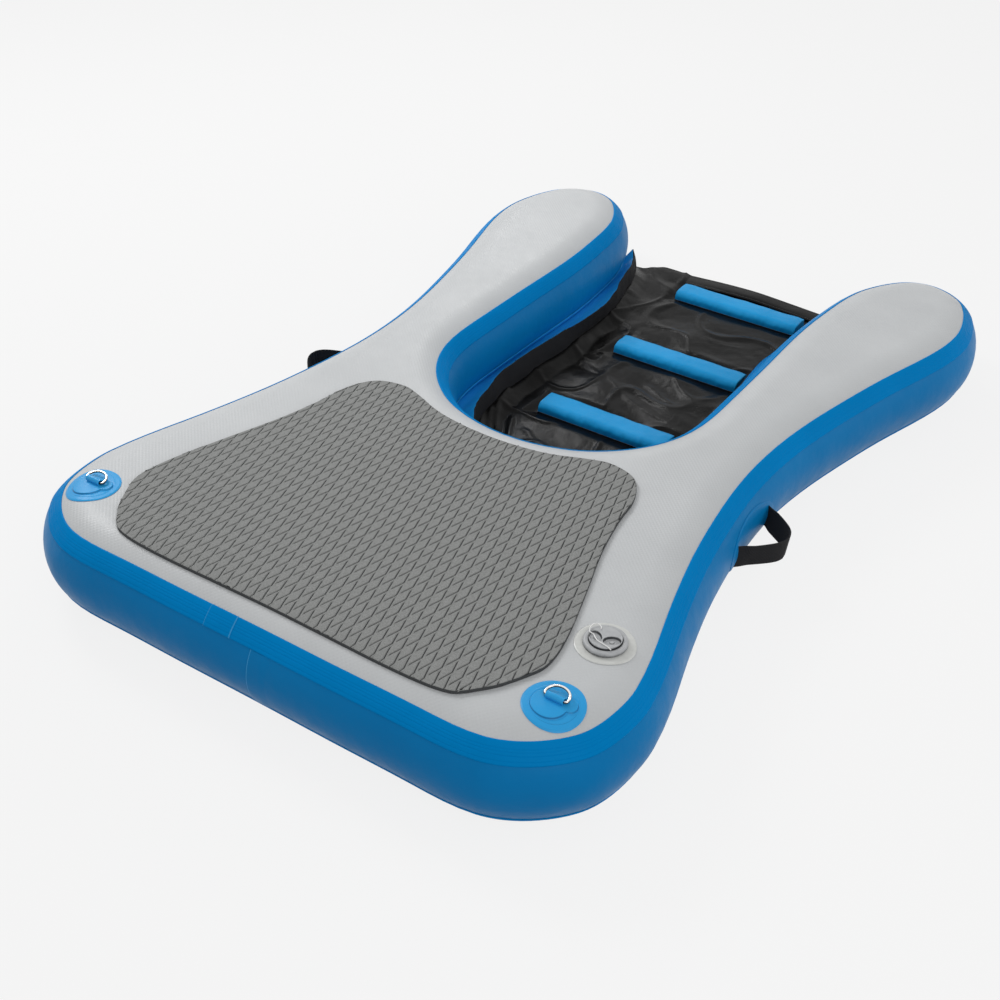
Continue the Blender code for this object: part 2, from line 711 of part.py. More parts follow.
def build_cap(centre, rim, shelf, finish, seal):
    """The cap in the rim's recess, its gasket and its tether."""
    gasket_top = shelf + GAP + CAP_GASKET_THICKNESS
    cap_low = gasket_top + GAP
    cap_top = cap_low + CAP_THICKNESS
    radius = VALVE_RECESS_RADIUS - CAP_CLEARANCE
    gasket = add_object(
        "valve_cap_gasket",
        washer(radius - CAP_GASKET_WIDTH, radius, shelf + GAP, gasket_top, centre),
        seal,
    )
    cap = add_object("valve_cap", disc(radius, cap_low, cap_top, centre), finish)
    grip = []
    for end in (-1, 1):
        reach = radius * 0.8 * end
        grip.append(
            [
                (centre[0] + reach, centre[1] - CAP_GRIP_WIDTH / 2 * side, z)
                for side, z in (
                    (1, cap_top - CAP_GRIP_HEIGHT / 2),
                    (1, cap_top + CAP_GRIP_HEIGHT / 2),
                    (0.5, cap_top + CAP_GRIP_HEIGHT),
                    (-0.5, cap_top + CAP_GRIP_HEIGHT),
                    (-1, cap_top + CAP_GRIP_HEIGHT / 2),
                    (-1, cap_top - CAP_GRIP_HEIGHT / 2),
                )
            ]
        )
    boolean(cap, add_object("cap_grip_part", loft(grip), finish, smooth=False), "UNION")
    scoop_centre = CAP_GRIP_WIDTH / 2 + CAP_SCOOP_RADIUS + GAP
    for hand in (-1, 1):
        spot = (centre[0], centre[1] + hand * scoop_centre)
        scoop = disc(CAP_SCOOP_RADIUS, cap_top - CAP_SCOOP_DEPTH, cap_top + CUT_OVERRUN, spot)
        boolean(cap, add_object(f"cap_scoop_cutter_{hand + 2}", scoop, finish))
    hang("valve_cap_axis", (*centre, cap_low), (cap, gasket))
    lift = cap_top + CAP_GRIP_HEIGHT + GAP + TETHER_RADIUS
    route = [
        (-0.95 * radius, 0.35 * radius),
        (-0.4 * radius, 0.55 * radius),
        (0.1 * radius, 0.1 * radius),
        (0.5 * radius, -0.5 * radius),
        (0.6 * VALVE_RIM_RADIUS, -0.75 * VALVE_RIM_RADIUS),
    ]
    places, _ = smooth_curve(route, 4, closed=False)
    top = max(lift, rim + GAP + TETHER_RADIUS)
    points = [(centre[0] + x, centre[1] + y, top) for x, y in places]
    tube("valve_cap_tether", points, TETHER_RADIUS, finish)


def wall_spot(along, angle, radius):
    """A point on the +X wall, so far along it from the handle's middle and at an angle from the top."""
    y = from_dock(HANDLE_FROM_DOCK) + along
    outer = OUTLINE[: int(np.argmax(OUTLINE[:HALF_COUNT, 1]))]
    index = int(np.searchsorted(outer[:, 1], y))
    share = (y - outer[index - 1, 1]) / (outer[index, 1] - outer[index - 1, 1])
    centre = CENTRE_LINE[index - 1] * (1 - share) + CENTRE_LINE[index] * share
    normal = NORMALS[index - 1] * (1 - share) + NORMALS[index] * share
    x, y = centre + normal * radius * math.sin(angle)
    return x, y, WALL_RADIUS + radius * math.cos(angle)


def handle_angle():
    """The handle's height as an angle from the wall's top."""
    return math.acos((HANDLE_HEIGHT - WALL_RADIUS) / WALL_RADIUS)


def build_handle_patch(name, sign, finish):
    """The oval patch that the strap's two ends come from under."""
    middle = handle_angle()
    radius = WALL_RADIUS + DRAPE_GAP
    sides = 28
    shares = (0.25, 0.5, 0.75, 1)
    low, high = [], []
    for share in shares:
        for rings, reach in ((low, radius), (high, radius + HANDLE_PATCH_THICKNESS)):
            ring = []
            for i in range(sides):
                turn = 2 * math.pi * i / sides
                along = HANDLE_PATCH_HALF_LENGTH * share * math.cos(turn)
                angle = middle + HANDLE_PATCH_HALF_ANGLE * share * math.sin(turn)
                x, y, z = wall_spot(along, angle, reach)
                ring.append((sign * x, y, z))
            rings.append(ring)
    add_object(name, loft(low + high[::-1]), finish)


def handle_axis():
    """The middle of the line that the +X strap swings about, and the line's lean from Y."""
    reach = WALL_RADIUS + DRAPE_GAP + HANDLE_PATCH_THICKNESS + DRAPE_GAP + HANDLE_ROOT_RADIUS
    near, far = (
        np.array(wall_spot(end, handle_angle(), reach)) for end in (-HANDLE_HALF_SPAN, HANDLE_HALF_SPAN)
    )
    return (near + far) / 2, math.atan2(far[0] - near[0], far[1] - near[1])


def strap_path():
    """Half of the strap's route as (out from the axis, along, half height), from its root to its middle."""
    root = HANDLE_ROOT_RADIUS
    half = WEBBING_WIDTH / 2
    path = [(-root, HANDLE_HALF_SPAN, root * 0.3), (-root * 0.6, HANDLE_HALF_SPAN, root * 0.75)]
    path += [(0, HANDLE_HALF_SPAN, root), (HANDLE_ROOT_LEG, HANDLE_HALF_SPAN, half)]
    bends = ((0.6, 0.99), (0.82, 0.93), (0.95, 0.8), (1, 0.6), (1, 0))
    path += [(HANDLE_REACH * out, HANDLE_HALF_SPAN * along, half) for out, along in bends]
    return path


def build_handle_strap(name, sign, finish):
    half = strap_path()
    whole = [(out, -along, high) for out, along, high in half] + half[-2::-1]
    route = np.array([(out, along) for out, along, _ in whole])
    tangents = np.gradient(route, axis=0)
    tangents /= np.linalg.norm(tangents, axis=1)[:, None]
    (x, y, z), lean = handle_axis()
    print(f"{name}: axis through {sign * x:.4f} {y:.4f} {z:.4f}, lean {math.degrees(lean):.2f} degrees")
    rings = []
    for (out, along), tangent, (_, _, high) in zip(route, tangents, whole):
        across = np.array((tangent[1], -tangent[0])) * WEBBING_THICKNESS / 2
        corners = [(-1, -high), (1, -high), (1, high), (-1, high)]
        rings.append([(sign * (out + across[0] * hand), along + across[1] * hand, h) for hand, h in corners])
    add_object(name, loft(rings), finish, smooth=False, place=(sign * x, y, z), turn=(0, 0, -sign * lean))


def slot_stations():
    """Places on the slot's wall and the way into the slot there, from the +X mouth round to the -X mouth."""
    tip = int(np.argmax(OUTLINE[:HALF_COUNT, 1]))
    places, normals = OUTLINE[tip:HALF_COUNT], NORMALS[tip:HALF_COUNT]
    line = places + normals * BAND_FROM_WALL
    end = from_dock(DECK_LENGTH + SLOT_LENGTH * BAND_END_SHARE)
    first = next(i for i in range(len(line)) if line[i, 1] < end)
    share = (line[first - 1, 1] - end) / (line[first - 1, 1] - line[first, 1])
    half = []
    for values in (places, normals):
        cut = values[first - 1] * (1 - share) + values[first] * share
        half.append(np.vstack([cut, values[first:]]))
    return [np.vstack([values, values[:-1][::-1] * (-1, 1)]) for values in half]


def slot_line(distance):
    """The slot's wall moved into the slot."""
    places, normals = slot_stations()
    return places + normals * distance


def swept(section, lines=None):
    """A closed body along the slot's wall, from a section of (distance into the slot, height)."""
    lines = lines or [slot_line(distance) for distance, _ in section]
    rings = []
    for spots in zip(*lines):
        rings.append([(*spot, height) for spot, (_, height) in zip(spots, section)])
    return loft(rings)


def cut_line(line, reach):
    """The part of a line round the slot that lies within reach of X=0."""
    middle = len(line) // 2
    half = line[: middle + 1]
    inner = next(i for i in range(len(half)) if half[i, 0] < reach)
    before, after = half[inner - 1], half[inner]
    cut = before + (after - before) * (before[0] - reach) / (before[0] - after[0])
    half = np.vstack([cut, half[inner:]])
    return np.vstack([half, half[:-1][::-1] * (-1, 1)])


def rectangle(start, end, low, high):
    return ((start, low), (start, high), (end, high), (end, low))


def build_band(finish):
    """The webbing that stands round the ramp's edge."""
    section = rectangle(BAND_FROM_WALL, BAND_FROM_WALL + BAND_THICKNESS, BAND_FOOT, BAND_FOOT + BAND_HEIGHT)
    return add_object("ramp_edge_webbing", swept(section), finish)


def build_flap(finish):
    """The blue flap welded to the foot of the slot's wall, and the piping that the ramp's edge is sewn to."""
    half = FLAP_THICKNESS / 2
    reach = TAPE_TOP + GAP
    root = []
    for angle in (FLAP_ANGLE + half / reach, FLAP_ANGLE - half / reach):
        root.append((reach * math.sin(angle) - WALL_RADIUS, WALL_RADIUS + reach * math.cos(angle)))
    end = BAND_FROM_WALL - FLAP_CLEARANCE
    flap = swept((*root, (end, HINGE_Z + half), (end, HINGE_Z - half)))
    add_object("ramp_flap", flap, material("flap_blue", BRIGHT_BLUE, 0.35))
    section = rectangle(
        end + GAP, BAND_FROM_WALL - GAP, HINGE_Z - PIPING_THICKNESS / 2, HINGE_Z + PIPING_THICKNESS / 2
    )
    lines = [cut_line(slot_line(distance), PIPING_HALF_LENGTH) for distance, _ in section]
    add_object("ramp_hinge_piping", swept(section, lines), finish)


def fabric_half_width(y):
    """Half the width between the two sides of the edge webbing at a Y."""
    line = slot_line(BAND_FROM_WALL + BAND_THICKNESS / 2)
    half = line[: len(line) // 2 + 1][::-1]
    return float(np.interp(y, half[:, 1], half[:, 0]))


def dock_end_y(x):
    """Where the edge webbing crosses the ramp's dock end at an X."""
    line = slot_line(BAND_FROM_WALL + BAND_THICKNESS / 2)
    half = line[: len(line) // 2 + 1][::-1]
    return float(np.interp(abs(x), half[:, 0], half[:, 1]))


def rung_y(index):
    return from_dock(DECK_LENGTH + SLOT_LENGTH * RUNG_FIRST_SHARE + index * RUNG_PITCH)


def fabric_rows():
    """The rows' Y from the dock end to the far end, with flat stretches under the rungs and the hem."""
    far = from_dock(DECK_LENGTH + SLOT_LENGTH * FABRIC_END_SHARE)
    flats = [(rung_y(i) - RUNG_DEPTH / 2 - GAP, rung_y(i) + RUNG_DEPTH / 2 + GAP) for i in range(RUNG_COUNT)]
    flats.append((far - HEM_WIDTH - GAP, far))
    rows = []
    start = dock_end_y(FABRIC_DOCK_HALF_WIDTH)
    for low, high in flats:
        steps = max(2, round(FABRIC_STEPS * (low - start) / RUNG_PITCH))
        rows += [(start + (low - start) * i / steps, math.sin(math.pi * i / steps) ** 2) for i in range(steps)]
        rows.append((low, 0.0))
        start = high
    rows.append((far, 0.0))
    return rows


def build_fabric(finish):
    """The fabric, flat on the floor with slanting folds between the rungs, raised towards its edges."""
    rows = fabric_rows()
    last = len(rows) - 1
    bend = next(i for i, row in enumerate(rows) if row[0] > rung_y(0) - RUNG_DEPTH)
    rings = []
    for index, (row_y, slack) in enumerate(rows):
        half_width = FABRIC_DOCK_HALF_WIDTH if index == 0 else fabric_half_width(row_y)
        top, bottom = [], []
        for column in range(FABRIC_COLUMNS + 1):
            across = 2 * column / FABRIC_COLUMNS - 1
            x = across * half_width
            start = dock_end_y(across * FABRIC_DOCK_HALF_WIDTH)
            y = row_y - (rows[0][0] - start) * max(0.0, 1 - index / bend)
            edge = max(0.0, 1 - min(half_width - abs(x), y - start) / FABRIC_EDGE_REACH)
            if index == last:
                edge = 0.0
            slant = (y + FABRIC_FOLD_SLANT_SHARE * x) / FABRIC_FOLD_PITCH
            fold = FABRIC_FOLD_HEIGHT * slack * max(0.0, math.cos(2 * math.pi * slant)) * (1 - edge)
            z = FABRIC_EDGE_RISE * edge**2 + fold
            top.append((x, y, z + FABRIC_THICKNESS))
            bottom.append((x, y, z))
        rings.append(bottom + top[::-1])
    return add_object("ramp_fabric", loft(rings), finish)


def build_hem(finish):
    """The flat webbing across the ramp's far edge."""
    far = fabric_rows()[-1][0]
    half = fabric_half_width(far) - FABRIC_EDGE_REACH
    low = FABRIC_THICKNESS + GAP
    rings = [
        [(-half, y, low), (half, y, low), (half, y, low + HEM_THICKNESS), (-half, y, low + HEM_THICKNESS)]
        for y in (far - HEM_WIDTH, far)
    ]
    return add_object("ramp_hem_webbing", loft(rings), finish, smooth=False)


def rung_profile(depth, height, lift):
    """A flat oval with a flat foot, as (Y, Z) about the rung's middle and the foot's height."""
    corner = height / 2
    points = []
    for sign, start in ((1, -90), (-1, 90)):
        for i in range(2 * RUNG_CORNER_POINTS + 1):
            turn = math.radians(start + 180 * i / (2 * RUNG_CORNER_POINTS))
            y = sign * (depth / 2 - corner) + corner * math.cos(turn)
            points.append((y, lift + corner + corner * math.sin(turn)))
    return points


def build_rungs():
    cover = material("rung_blue", BRIGHT_BLUE, 0.3)
    foam = material("foam", FOAM_WHITE, 0.9)
    foot = FABRIC_THICKNESS + GAP
    inside = RUNG_WALL + GAP
    pieces = []
    for i in range(RUNG_COUNT):
        y = rung_y(i)
        outer = rung_profile(RUNG_DEPTH, RUNG_HEIGHT, foot)
        inner = rung_profile(RUNG_DEPTH - 2 * RUNG_WALL, RUNG_HEIGHT - 2 * RUNG_WALL, foot + RUNG_WALL)
        rings = []
        for x, profile in ((-1, outer), (1, outer), (1, inner), (-1, inner)):
            rings.append([(x * RUNG_HALF_LENGTH, y + dy, z) for dy, z in profile])
        pieces.append(add_object(f"rung_{i + 1}_sleeve", loft(rings, wrap=True), cover))
        core = rung_profile(RUNG_DEPTH - 2 * inside, RUNG_HEIGHT - 2 * inside, foot + inside)
        rings = [[(x * (RUNG_HALF_LENGTH - RUNG_WALL), y + dy, z) for dy, z in core] for x in (-1, 1)]
        pieces.append(add_object(f"rung_{i + 1}_foam", loft(rings), foam))
    return pieces


def main():
    for old in list(bpy.data.objects):
        bpy.data.objects.remove(old, do_unlink=True)
    webbing = material("webbing_black", BLACK, 0.7)
    build_core()
    build_skins()
    build_wall()
    build_pad()
    for side, sign in (("left", -1), ("right", 1)):
        build_tether_point(side, sign)
        build_handle_patch(f"{side}_handle_patch", sign, material("patch_blue", BRIGHT_BLUE, 0.3))
        build_handle_strap(f"{side}_handle_strap", sign, webbing)
    build_valve()
    build_flap(webbing)
    ramp = [build_band(webbing), build_fabric(material("ramp_fabric", BLACK, 0.35)), build_hem(webbing)]
    hinge = (0, float(slot_line(BAND_FROM_WALL)[:, 1].min()), HINGE_Z)
    hang("ramp_axis", hinge, ramp + build_rungs())


main()
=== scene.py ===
"""The looks of the inflatable dog water ramp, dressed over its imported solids.

Metres, +Z up. X runs across the ramp, +Y from the dock edge to the arm tips, and the floor is Z=0.
"""

import json
from math import acos, ceil, copysign, cos, exp, hypot, pi, radians, sin, sqrt

import bmesh
import bpy
import numpy as np
from bmesh.types import BMEdge, BMFace, BMVert
from mathutils import Matrix, Vector, kdtree, noise


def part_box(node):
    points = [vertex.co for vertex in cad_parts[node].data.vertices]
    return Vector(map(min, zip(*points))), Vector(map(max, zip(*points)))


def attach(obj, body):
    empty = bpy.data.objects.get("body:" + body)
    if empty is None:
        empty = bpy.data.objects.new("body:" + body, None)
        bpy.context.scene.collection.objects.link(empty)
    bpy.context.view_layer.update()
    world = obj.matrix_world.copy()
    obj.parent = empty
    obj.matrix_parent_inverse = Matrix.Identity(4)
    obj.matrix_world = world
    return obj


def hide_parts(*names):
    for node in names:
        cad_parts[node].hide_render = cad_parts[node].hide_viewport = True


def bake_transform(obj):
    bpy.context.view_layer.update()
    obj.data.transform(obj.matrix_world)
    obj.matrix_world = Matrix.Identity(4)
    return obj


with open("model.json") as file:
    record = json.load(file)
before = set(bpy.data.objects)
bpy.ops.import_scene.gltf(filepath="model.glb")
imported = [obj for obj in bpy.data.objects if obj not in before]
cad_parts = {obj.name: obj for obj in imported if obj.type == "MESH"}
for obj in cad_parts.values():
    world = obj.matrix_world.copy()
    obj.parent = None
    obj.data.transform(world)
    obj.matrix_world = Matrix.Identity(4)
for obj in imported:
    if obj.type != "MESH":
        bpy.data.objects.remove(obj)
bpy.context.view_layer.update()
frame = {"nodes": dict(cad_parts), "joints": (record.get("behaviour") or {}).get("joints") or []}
JOINTS = {joint["name"]: joint for joint in frame["joints"]}

# Points closer than this are one point
MERGE = 1e-5
# The vertex layer that mark_slopes fills and a finish reads, to place painted shade on steep faces and
# the chrome's painted reflection
SLOPE = "slope"
# How many times finer a line from a solid is drawn
CURVE_STEPS = 4
# Where a mottled pattern reaches its two shades
SHADE_STOPS = (0.3, 0.7)
# The scale at which a wave texture has one wave per unit
ONE_WAVE = 0.314
TUBE_SIDES = 10
# What all rounded edges have in common
BEVEL = {"profile": 0.5, "affect": "EDGES", "material": -1}

# How thick the sheets are
TAPE_SHEET = 0.0004
PATCH_SHEET = 0.0008
COVER_SHEET = 0.0006
SLEEVE_SHEET = 0.0011
STRAP_SHEET = 0.0018
BAND_SHEET = 0.0015
FLAP_SHEET = 0.0009
CLOTH_SHEET = 0.0007
HEM_SHEET = 0.0016

# Hull
HULL_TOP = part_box("top_skin")[1].z
WALL_RADIUS = HULL_TOP / 2
SKIN = 0.0015
DOT_PITCH = 0.0046
# Angles round the wall are from its top
DECK_EDGE = radians(37)
DECK_INSET = 0.001
WALL_ANGLES = (radians(40), radians(140))
TAPE_TOP_ANGLE = radians(34)
TAPE_LOW_ANGLE = radians(56)
# The seam tape: how wide its edge's slope is as a share of it, and its surface off the wall
TAPE_EDGE = 0.04
TAPE_FOOT = 0.0004
TAPE_RISE = 0.0011
# The welding roller's lines: their places and width as shares of the tape, and their depth
ROLLER_LINES = (0.34, 0.46, 0.60, 0.82)
ROLLER_WIDTH = 0.014
ROLLER_DEPTH = 0.00035
VALVE_HOLE = 0.0175
# Where the laps of the vinyl lie, along the outline from the dock's middle, and how they are raised
WALL_JOINT = (0.003, 0.037)
TAPE_JOINT = (-0.075, -0.031)
# How wide the painted highlight along a lap's cut edge is
LAP_HIGHLIGHT_WIDTH = 0.0016
JOINT_LIFT = 0.0011
JOINT_SUNK = 0.0002
JOINT_SLOPE = 0.02

# Traction pad: a lattice of rhombuses cut into the foam
PAD_LIFT = 0.0006
PAD_THICKNESS = 0.005
CELL = (0.0145, 0.050)
LATTICE_POINT = (0.0114, -0.4698)
GROOVE_HALF = 0.068
GROOVE_START = 0.25
GROOVE_DEPTH = 0.0015
GROOVE_SLOPE = 0.0003
PAD_CHAMFER = 0.0009

# Welded patches: how far their rim is off the vinyl, and how much further the rest
PATCH_LIFT = 0.0006
PATCH_RISE = 0.001

# Tether points
COVER_RADIUS = 0.030
# The raised disc and lobe of a cover, as middle and radius
COVER_ROUNDS = ((-0.0035, -0.0035, 0.0232), (0.0172, 0.0060, 0.0108))
SLEEVE_LIFT = 0.0007
RING_WIRE = 0.0017
RING_LEG = 0.004
RING_BOW = 0.0128
RING_TILT = radians(12)

# Valve cap: where each finger scoop lies, and how its long side is turned
CAP_SCOOPS = ((0.0095, -0.0015, radians(37)), (-0.0110, -0.0055, radians(-43)))
SCOOP_SIZE = (0.0115, 0.0078)
SCOOP_DEPTH = 0.0037
SPRING_RADIUS = 0.0038
SPRING_WIRE = 0.00045
SPRING_TURNS = 6
SPRING_STEPS = 24
TETHER_RADIUS = 0.0007
TETHER_ROUTE = (
    (-0.0115, 0.0080), (-0.0134, 0.0117), (-0.0190, 0.0145), (-0.0234, 0.0115), (-0.0238, 0.0037),
    (-0.0204, -0.0036), (-0.0143, -0.0050), (-0.0095, -0.0090), (-0.0040, -0.0124), (0.0047, -0.0140),
    (0.0128, -0.0158), (0.0170, -0.0180),
)

# Carry handles: half of the strap's route as (out from its hinge line, along it)
STRAP_ROUTE = (
    (-0.009, 0.060), (-0.002, 0.054), (0.009, 0.0445), (0.021, 0.0345), (0.033, 0.0235), (0.0405, 0.014),
    (0.044, 0.005),
)
STRAP_SHIFT = 0.0035
# How steeply the left strap rises away from the wall
STRAP_RISE = 0.2
# Two reaches out from the strap's hinge line, at which a start and an end point are worked out
STRAP_BEND = (-0.004, 0.024)
WALL_PATCH_ANGLE = radians(29)

# Ramp
RUNG_DEPTH = 0.048
RUNG_HEIGHT = 0.0165
# Which side, towards the dock or away, and how far its upper edge is rounded
RUNG_ROUNDING = ((-1, 0.0105), (1, 0.0035))
RUNG_END_ROUNDING = 0.0013
# How far from its ends a rung's cover is drawn in
RUNG_FOLD = 0.014
# Each rung's length, and how far its middle lies towards +X
RUNGS = ((0.238, 0.0115), (0.245, 0.017), (0.252, 0.012))
STITCH_PITCH = 0.0036
STITCH_SIZE = (0.0026, 0.0007, 0.00056)
HEM_ARCH = 0.008
CLOTH_ROWS = 280
CORNER_CUT = 0.030
# Creases of the cloth: from and to, how high and how wide
CREASES = (
    (-0.180, 0.470, -0.157, 0.538, 0.0045, 0.007), (-0.157, 0.538, -0.134, 0.600, 0.0040, 0.006),
    (-0.134, 0.600, -0.138, 0.690, 0.0035, 0.006), (-0.134, 0.600, -0.060, 0.586, 0.0018, 0.006),
    (-0.012, 0.560, 0.023, 0.503, 0.0030, 0.007), (0.023, 0.503, 0.030, 0.430, 0.0026, 0.007),
    (-0.050, 0.500, 0.075, 0.512, 0.0022, 0.006), (-0.150, 0.320, -0.020, 0.255, 0.0030, 0.012),
    (-0.060, 0.275, 0.090, 0.205, 0.0034, 0.016), (0.020, 0.290, 0.120, 0.250, 0.0026, 0.012),
    (-0.175, 0.120, -0.130, 0.020, 0.0060, 0.007), (-0.160, 0.050, -0.085, -0.045, 0.0050, 0.008),
    (-0.125, 0.060, -0.040, -0.060, 0.0036, 0.008), (-0.080, 0.040, 0.060, -0.030, 0.0032, 0.014),
    (0.080, 0.100, 0.110, -0.010, 0.0034, 0.009), (0.140, 0.420, 0.150, 0.200, 0.0028, 0.010),
)
EDGE_LOW, EDGE_HIGH = (corner.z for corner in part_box("ramp_edge_webbing"))
# The flap and the standing edge: grid steps round the slot, and how wide they are when flat
SLOT_STEPS = 420
BAND_WIDTH = 0.048
FLAP_WIDTH = 0.070
BAND_INTO_SLOT = 0.025
FLAP_LIFT = 0.0008
# The share of the flap's width that is welded to the wall, and between which angles
FLAP_WELDED = 0.3
FLAP_WELD = (radians(116), radians(131))
# Places along the slot, and how far off its wall the standing edge's top and foot are there
BAND_TOP_MARKS = (
    (-0.13, 0.027), (0.03, 0.031), (0.12, 0.020), (0.22, 0.021), (0.30, 0.028), (0.40, 0.036),
    (0.47, 0.033), (0.56, 0.016), (0.67, 0.012),
)
BAND_FOOT_MARKS = (
    (-0.13, 0.030), (0.05, 0.032), (0.15, 0.024), (0.30, 0.030), (0.39, 0.021), (0.49, 0.0255),
    (0.60, 0.017), (0.69, 0.024),
)
MOUTH_RISE = 0.0075
MOUTH_DIP = 0.009

# Camera, matched to the photograph
CAMERA_AZIMUTH = 0.5714591
CAMERA_ELEVATION = 0.6163963
CAMERA_ROLL = 0.0307126
CAMERA_DISTANCE = 2.1734029
CAMERA_TARGET = (-0.0144051, -0.141368, 0)
CAMERA_LENS = 50.4

# How bright the surround is as a light, and how much of the floor's look is its own glow
SKY_LIGHT = 0.5
FLOOR_GLOW = 0.84
FLOOR_GREY = (0.48, 0.48, 0.48)
FLOOR_RADIUS = 14
FLOOR_DROP = 0.0006
# Lamps: name, place, what it looks at, size and power
LAMPS = (
    ("key", (-2.1, 0.2, 2.0), (0, 0.1, 0), 1.1, 34),
    ("fill", (2.3, -1.9, 2.0), (0, 0, 0.05), 2.0, 25),
    ("side", (2.3, 1.2, 1.1), (-0.2, 0.2, 0.05), 1.2, 8),
    ("sheen", (-1.33, 1.86, 1.50), (0, 0.3, 0), 0.45, 6.5),
)


def node(tree, kind, links=(), values=(), **settings):
    """Adds a shader node, with links as (input, socket) pairs and values as (input, value) pairs."""
    made = tree.nodes.new("ShaderNode" + kind)
    for name, value in settings.items():
        setattr(made, name, value)
    for name, value in values:
        made.inputs[name].default_value = value
    for name, socket in links:
        tree.links.new(socket, made.inputs[name])
    return made


class Finish:
    """A new material whose colour, roughness and relief come from patterns in metres."""

    def __init__(self, name, space="Object", **sockets):
        self.material = bpy.data.materials.new(name)
        self.material.use_nodes = True
        self.tree = self.material.node_tree
        self.shader = self.tree.nodes["Principled BSDF"]
        for socket, value in sockets.items():
            self.shader.inputs[socket.replace("_", " ")].default_value = value
        self.place = node(self.tree, "TexCoord").outputs[space]
        self.below = None

    def scaled(self, size, turn=0.0):
        """Coordinates in which one unit is that many metres."""
        mapping = node(self.tree, "Mapping", [("Vector", self.place)])
        mapping.inputs["Scale"].default_value = [1 / value for value in size]
        mapping.inputs["Rotation"].default_value = (0, 0, turn)
        return mapping.outputs["Vector"]

    def speckle(self, size, detail):
        """Noise whose spots have that size."""
        values = [("Scale", 1 / size), ("Detail", detail)]
        return node(self.tree, "TexNoise", [("Vector", self.place)], values).outputs["Fac"]

    def waves(self, width, direction, distortion=0.0):
        """Parallel waves of that width, one after another along X or Y."""
        links = [("Vector", self.scaled((width, width, 1)))]
        values = [("Scale", ONE_WAVE), ("Distortion", distortion)]
        return node(self.tree, "TexWave", links, values, bands_direction=direction).outputs["Fac"]

    def slopes(self):
        """The share that mark_slopes kept at each vertex."""
        return node(self.tree, "Attribute", attribute_name=SLOPE).outputs["Fac"]

    def ramp(self, share, *stops):
        """Colours or greys along a share from 0 to 1."""
        made = node(self.tree, "ValToRGB", [("Fac", share)])
        marks = made.color_ramp.elements
        while len(marks) < len(stops):
            marks.new(0.5)
        for mark, (position, colour) in zip(marks, stops):
            mark.position = position
            mark.color = (*colour, 1) if isinstance(colour, tuple) else (colour, colour, colour, 1)
        return made.outputs["Color"]

    def mottle(self, size, detail, low, high, steep=None):
        """Slow changes between two colours or greys, with a painted shade colour on steep faces when it
        is given.
        """
        share, stops = self.speckle(size, detail), zip(SHADE_STOPS, (low, high))
        if steep is None:
            return self.ramp(share, *stops)
        return self.ramp(sums(self.tree, "MULTIPLY", share, self.slopes()), (0.0, steep), *stops)

    def tint(self, colour):
        self.tree.links.new(colour, self.shader.inputs["Base Color"])

    def dull(self, roughness):
        self.tree.links.new(roughness, self.shader.inputs["Roughness"])

    def relief(self, height, depth):
        """Bumps the surface by a height from 0 to 1 times depth, over the relief that it has so far."""
        bump = node(self.tree, "Bump", [("Height", height)], [("Distance", depth), ("Strength", 1.0)])
        if self.below:
            self.tree.links.new(self.below, bump.inputs["Normal"])
        self.below = bump.outputs["Normal"]
        self.tree.links.new(self.below, self.shader.inputs["Normal"])


def sums(tree, kind, *sources):
    """A maths node over sockets and plain numbers."""
    made = node(tree, "Math", operation=kind)
    for index, source in enumerate(sources):
        if isinstance(source, (int, float)):
            made.inputs[index].default_value = source
        else:
            tree.links.new(source, made.inputs[index])
    return made.outputs[0]


def deck_vinyl():
    """Pale grey coated fabric with a fine embossed dot pattern."""
    vinyl = Finish("deck_vinyl", Roughness=0.42, Specular_IOR_Level=0.35)
    vinyl.tint(vinyl.mottle(0.11, 4, (0.50, 0.515, 0.525), (0.54, 0.555, 0.565)))
    rows = [("Vector", vinyl.scaled((DOT_PITCH, DOT_PITCH, 1), radians(45)))]
    regular = [("Scale", 1.0), ("Randomness", 0.0)]
    dots = node(vinyl.tree, "TexVoronoi", rows, regular, voronoi_dimensions="2D").outputs["Distance"]
    vinyl.relief(vinyl.ramp(dots, (0.0, 1.0), (0.55, 0.0)), 0.00021)
    vinyl.relief(vinyl.speckle(0.0007, 3), 0.00012)
    vinyl.dull(vinyl.mottle(0.02, 3, 0.38, 0.48))
    return vinyl.material


def blue_vinyl(name, low, high, roughness, gloss=0.2, steep=None):
    """Glossy coloured vinyl with a fine leather grain and slow changes of shade, and painted shade on
    steep faces when a steep colour is given.
    """
    vinyl = Finish(name, Roughness=roughness, Specular_IOR_Level=gloss)
    vinyl.tint(vinyl.mottle(0.16, 3, low, high, steep))
    vinyl.relief(vinyl.speckle(0.0016, 4), 0.00016)
    vinyl.relief(vinyl.speckle(0.03, 2), 0.0011)
    vinyl.dull(vinyl.mottle(0.03, 3, roughness - 0.05, roughness + 0.07))
    return vinyl.material


def pad_foam(name, low, high):
    """Closed-cell foam with fine pores."""
    foam = Finish(name, Roughness=0.85)
    grain = foam.speckle(0.0011, 3)
    foam.tint(foam.ramp(grain, (0.3, low), (0.72, high)))
    foam.relief(grain, 0.0003)
    return foam.material


def webbing():
    """Black ribbed webbing: ribs across it, and the two threads of its weave."""
    strap = Finish("webbing", "UV", Roughness=0.8, Specular_IOR_Level=0.2)
    threads = sums(strap.tree, "ADD", sums(strap.tree, "MULTIPLY", strap.waves(0.0011, "Y"), 0.5), 0.5)
    weave = sums(strap.tree, "MULTIPLY", strap.waves(0.0018, "X"), threads)
    strap.tint(strap.ramp(weave, (0.1, (0.006, 0.006, 0.007)), (0.9, (0.021, 0.021, 0.023))))
    strap.relief(weave, 0.0004)
    return strap.material


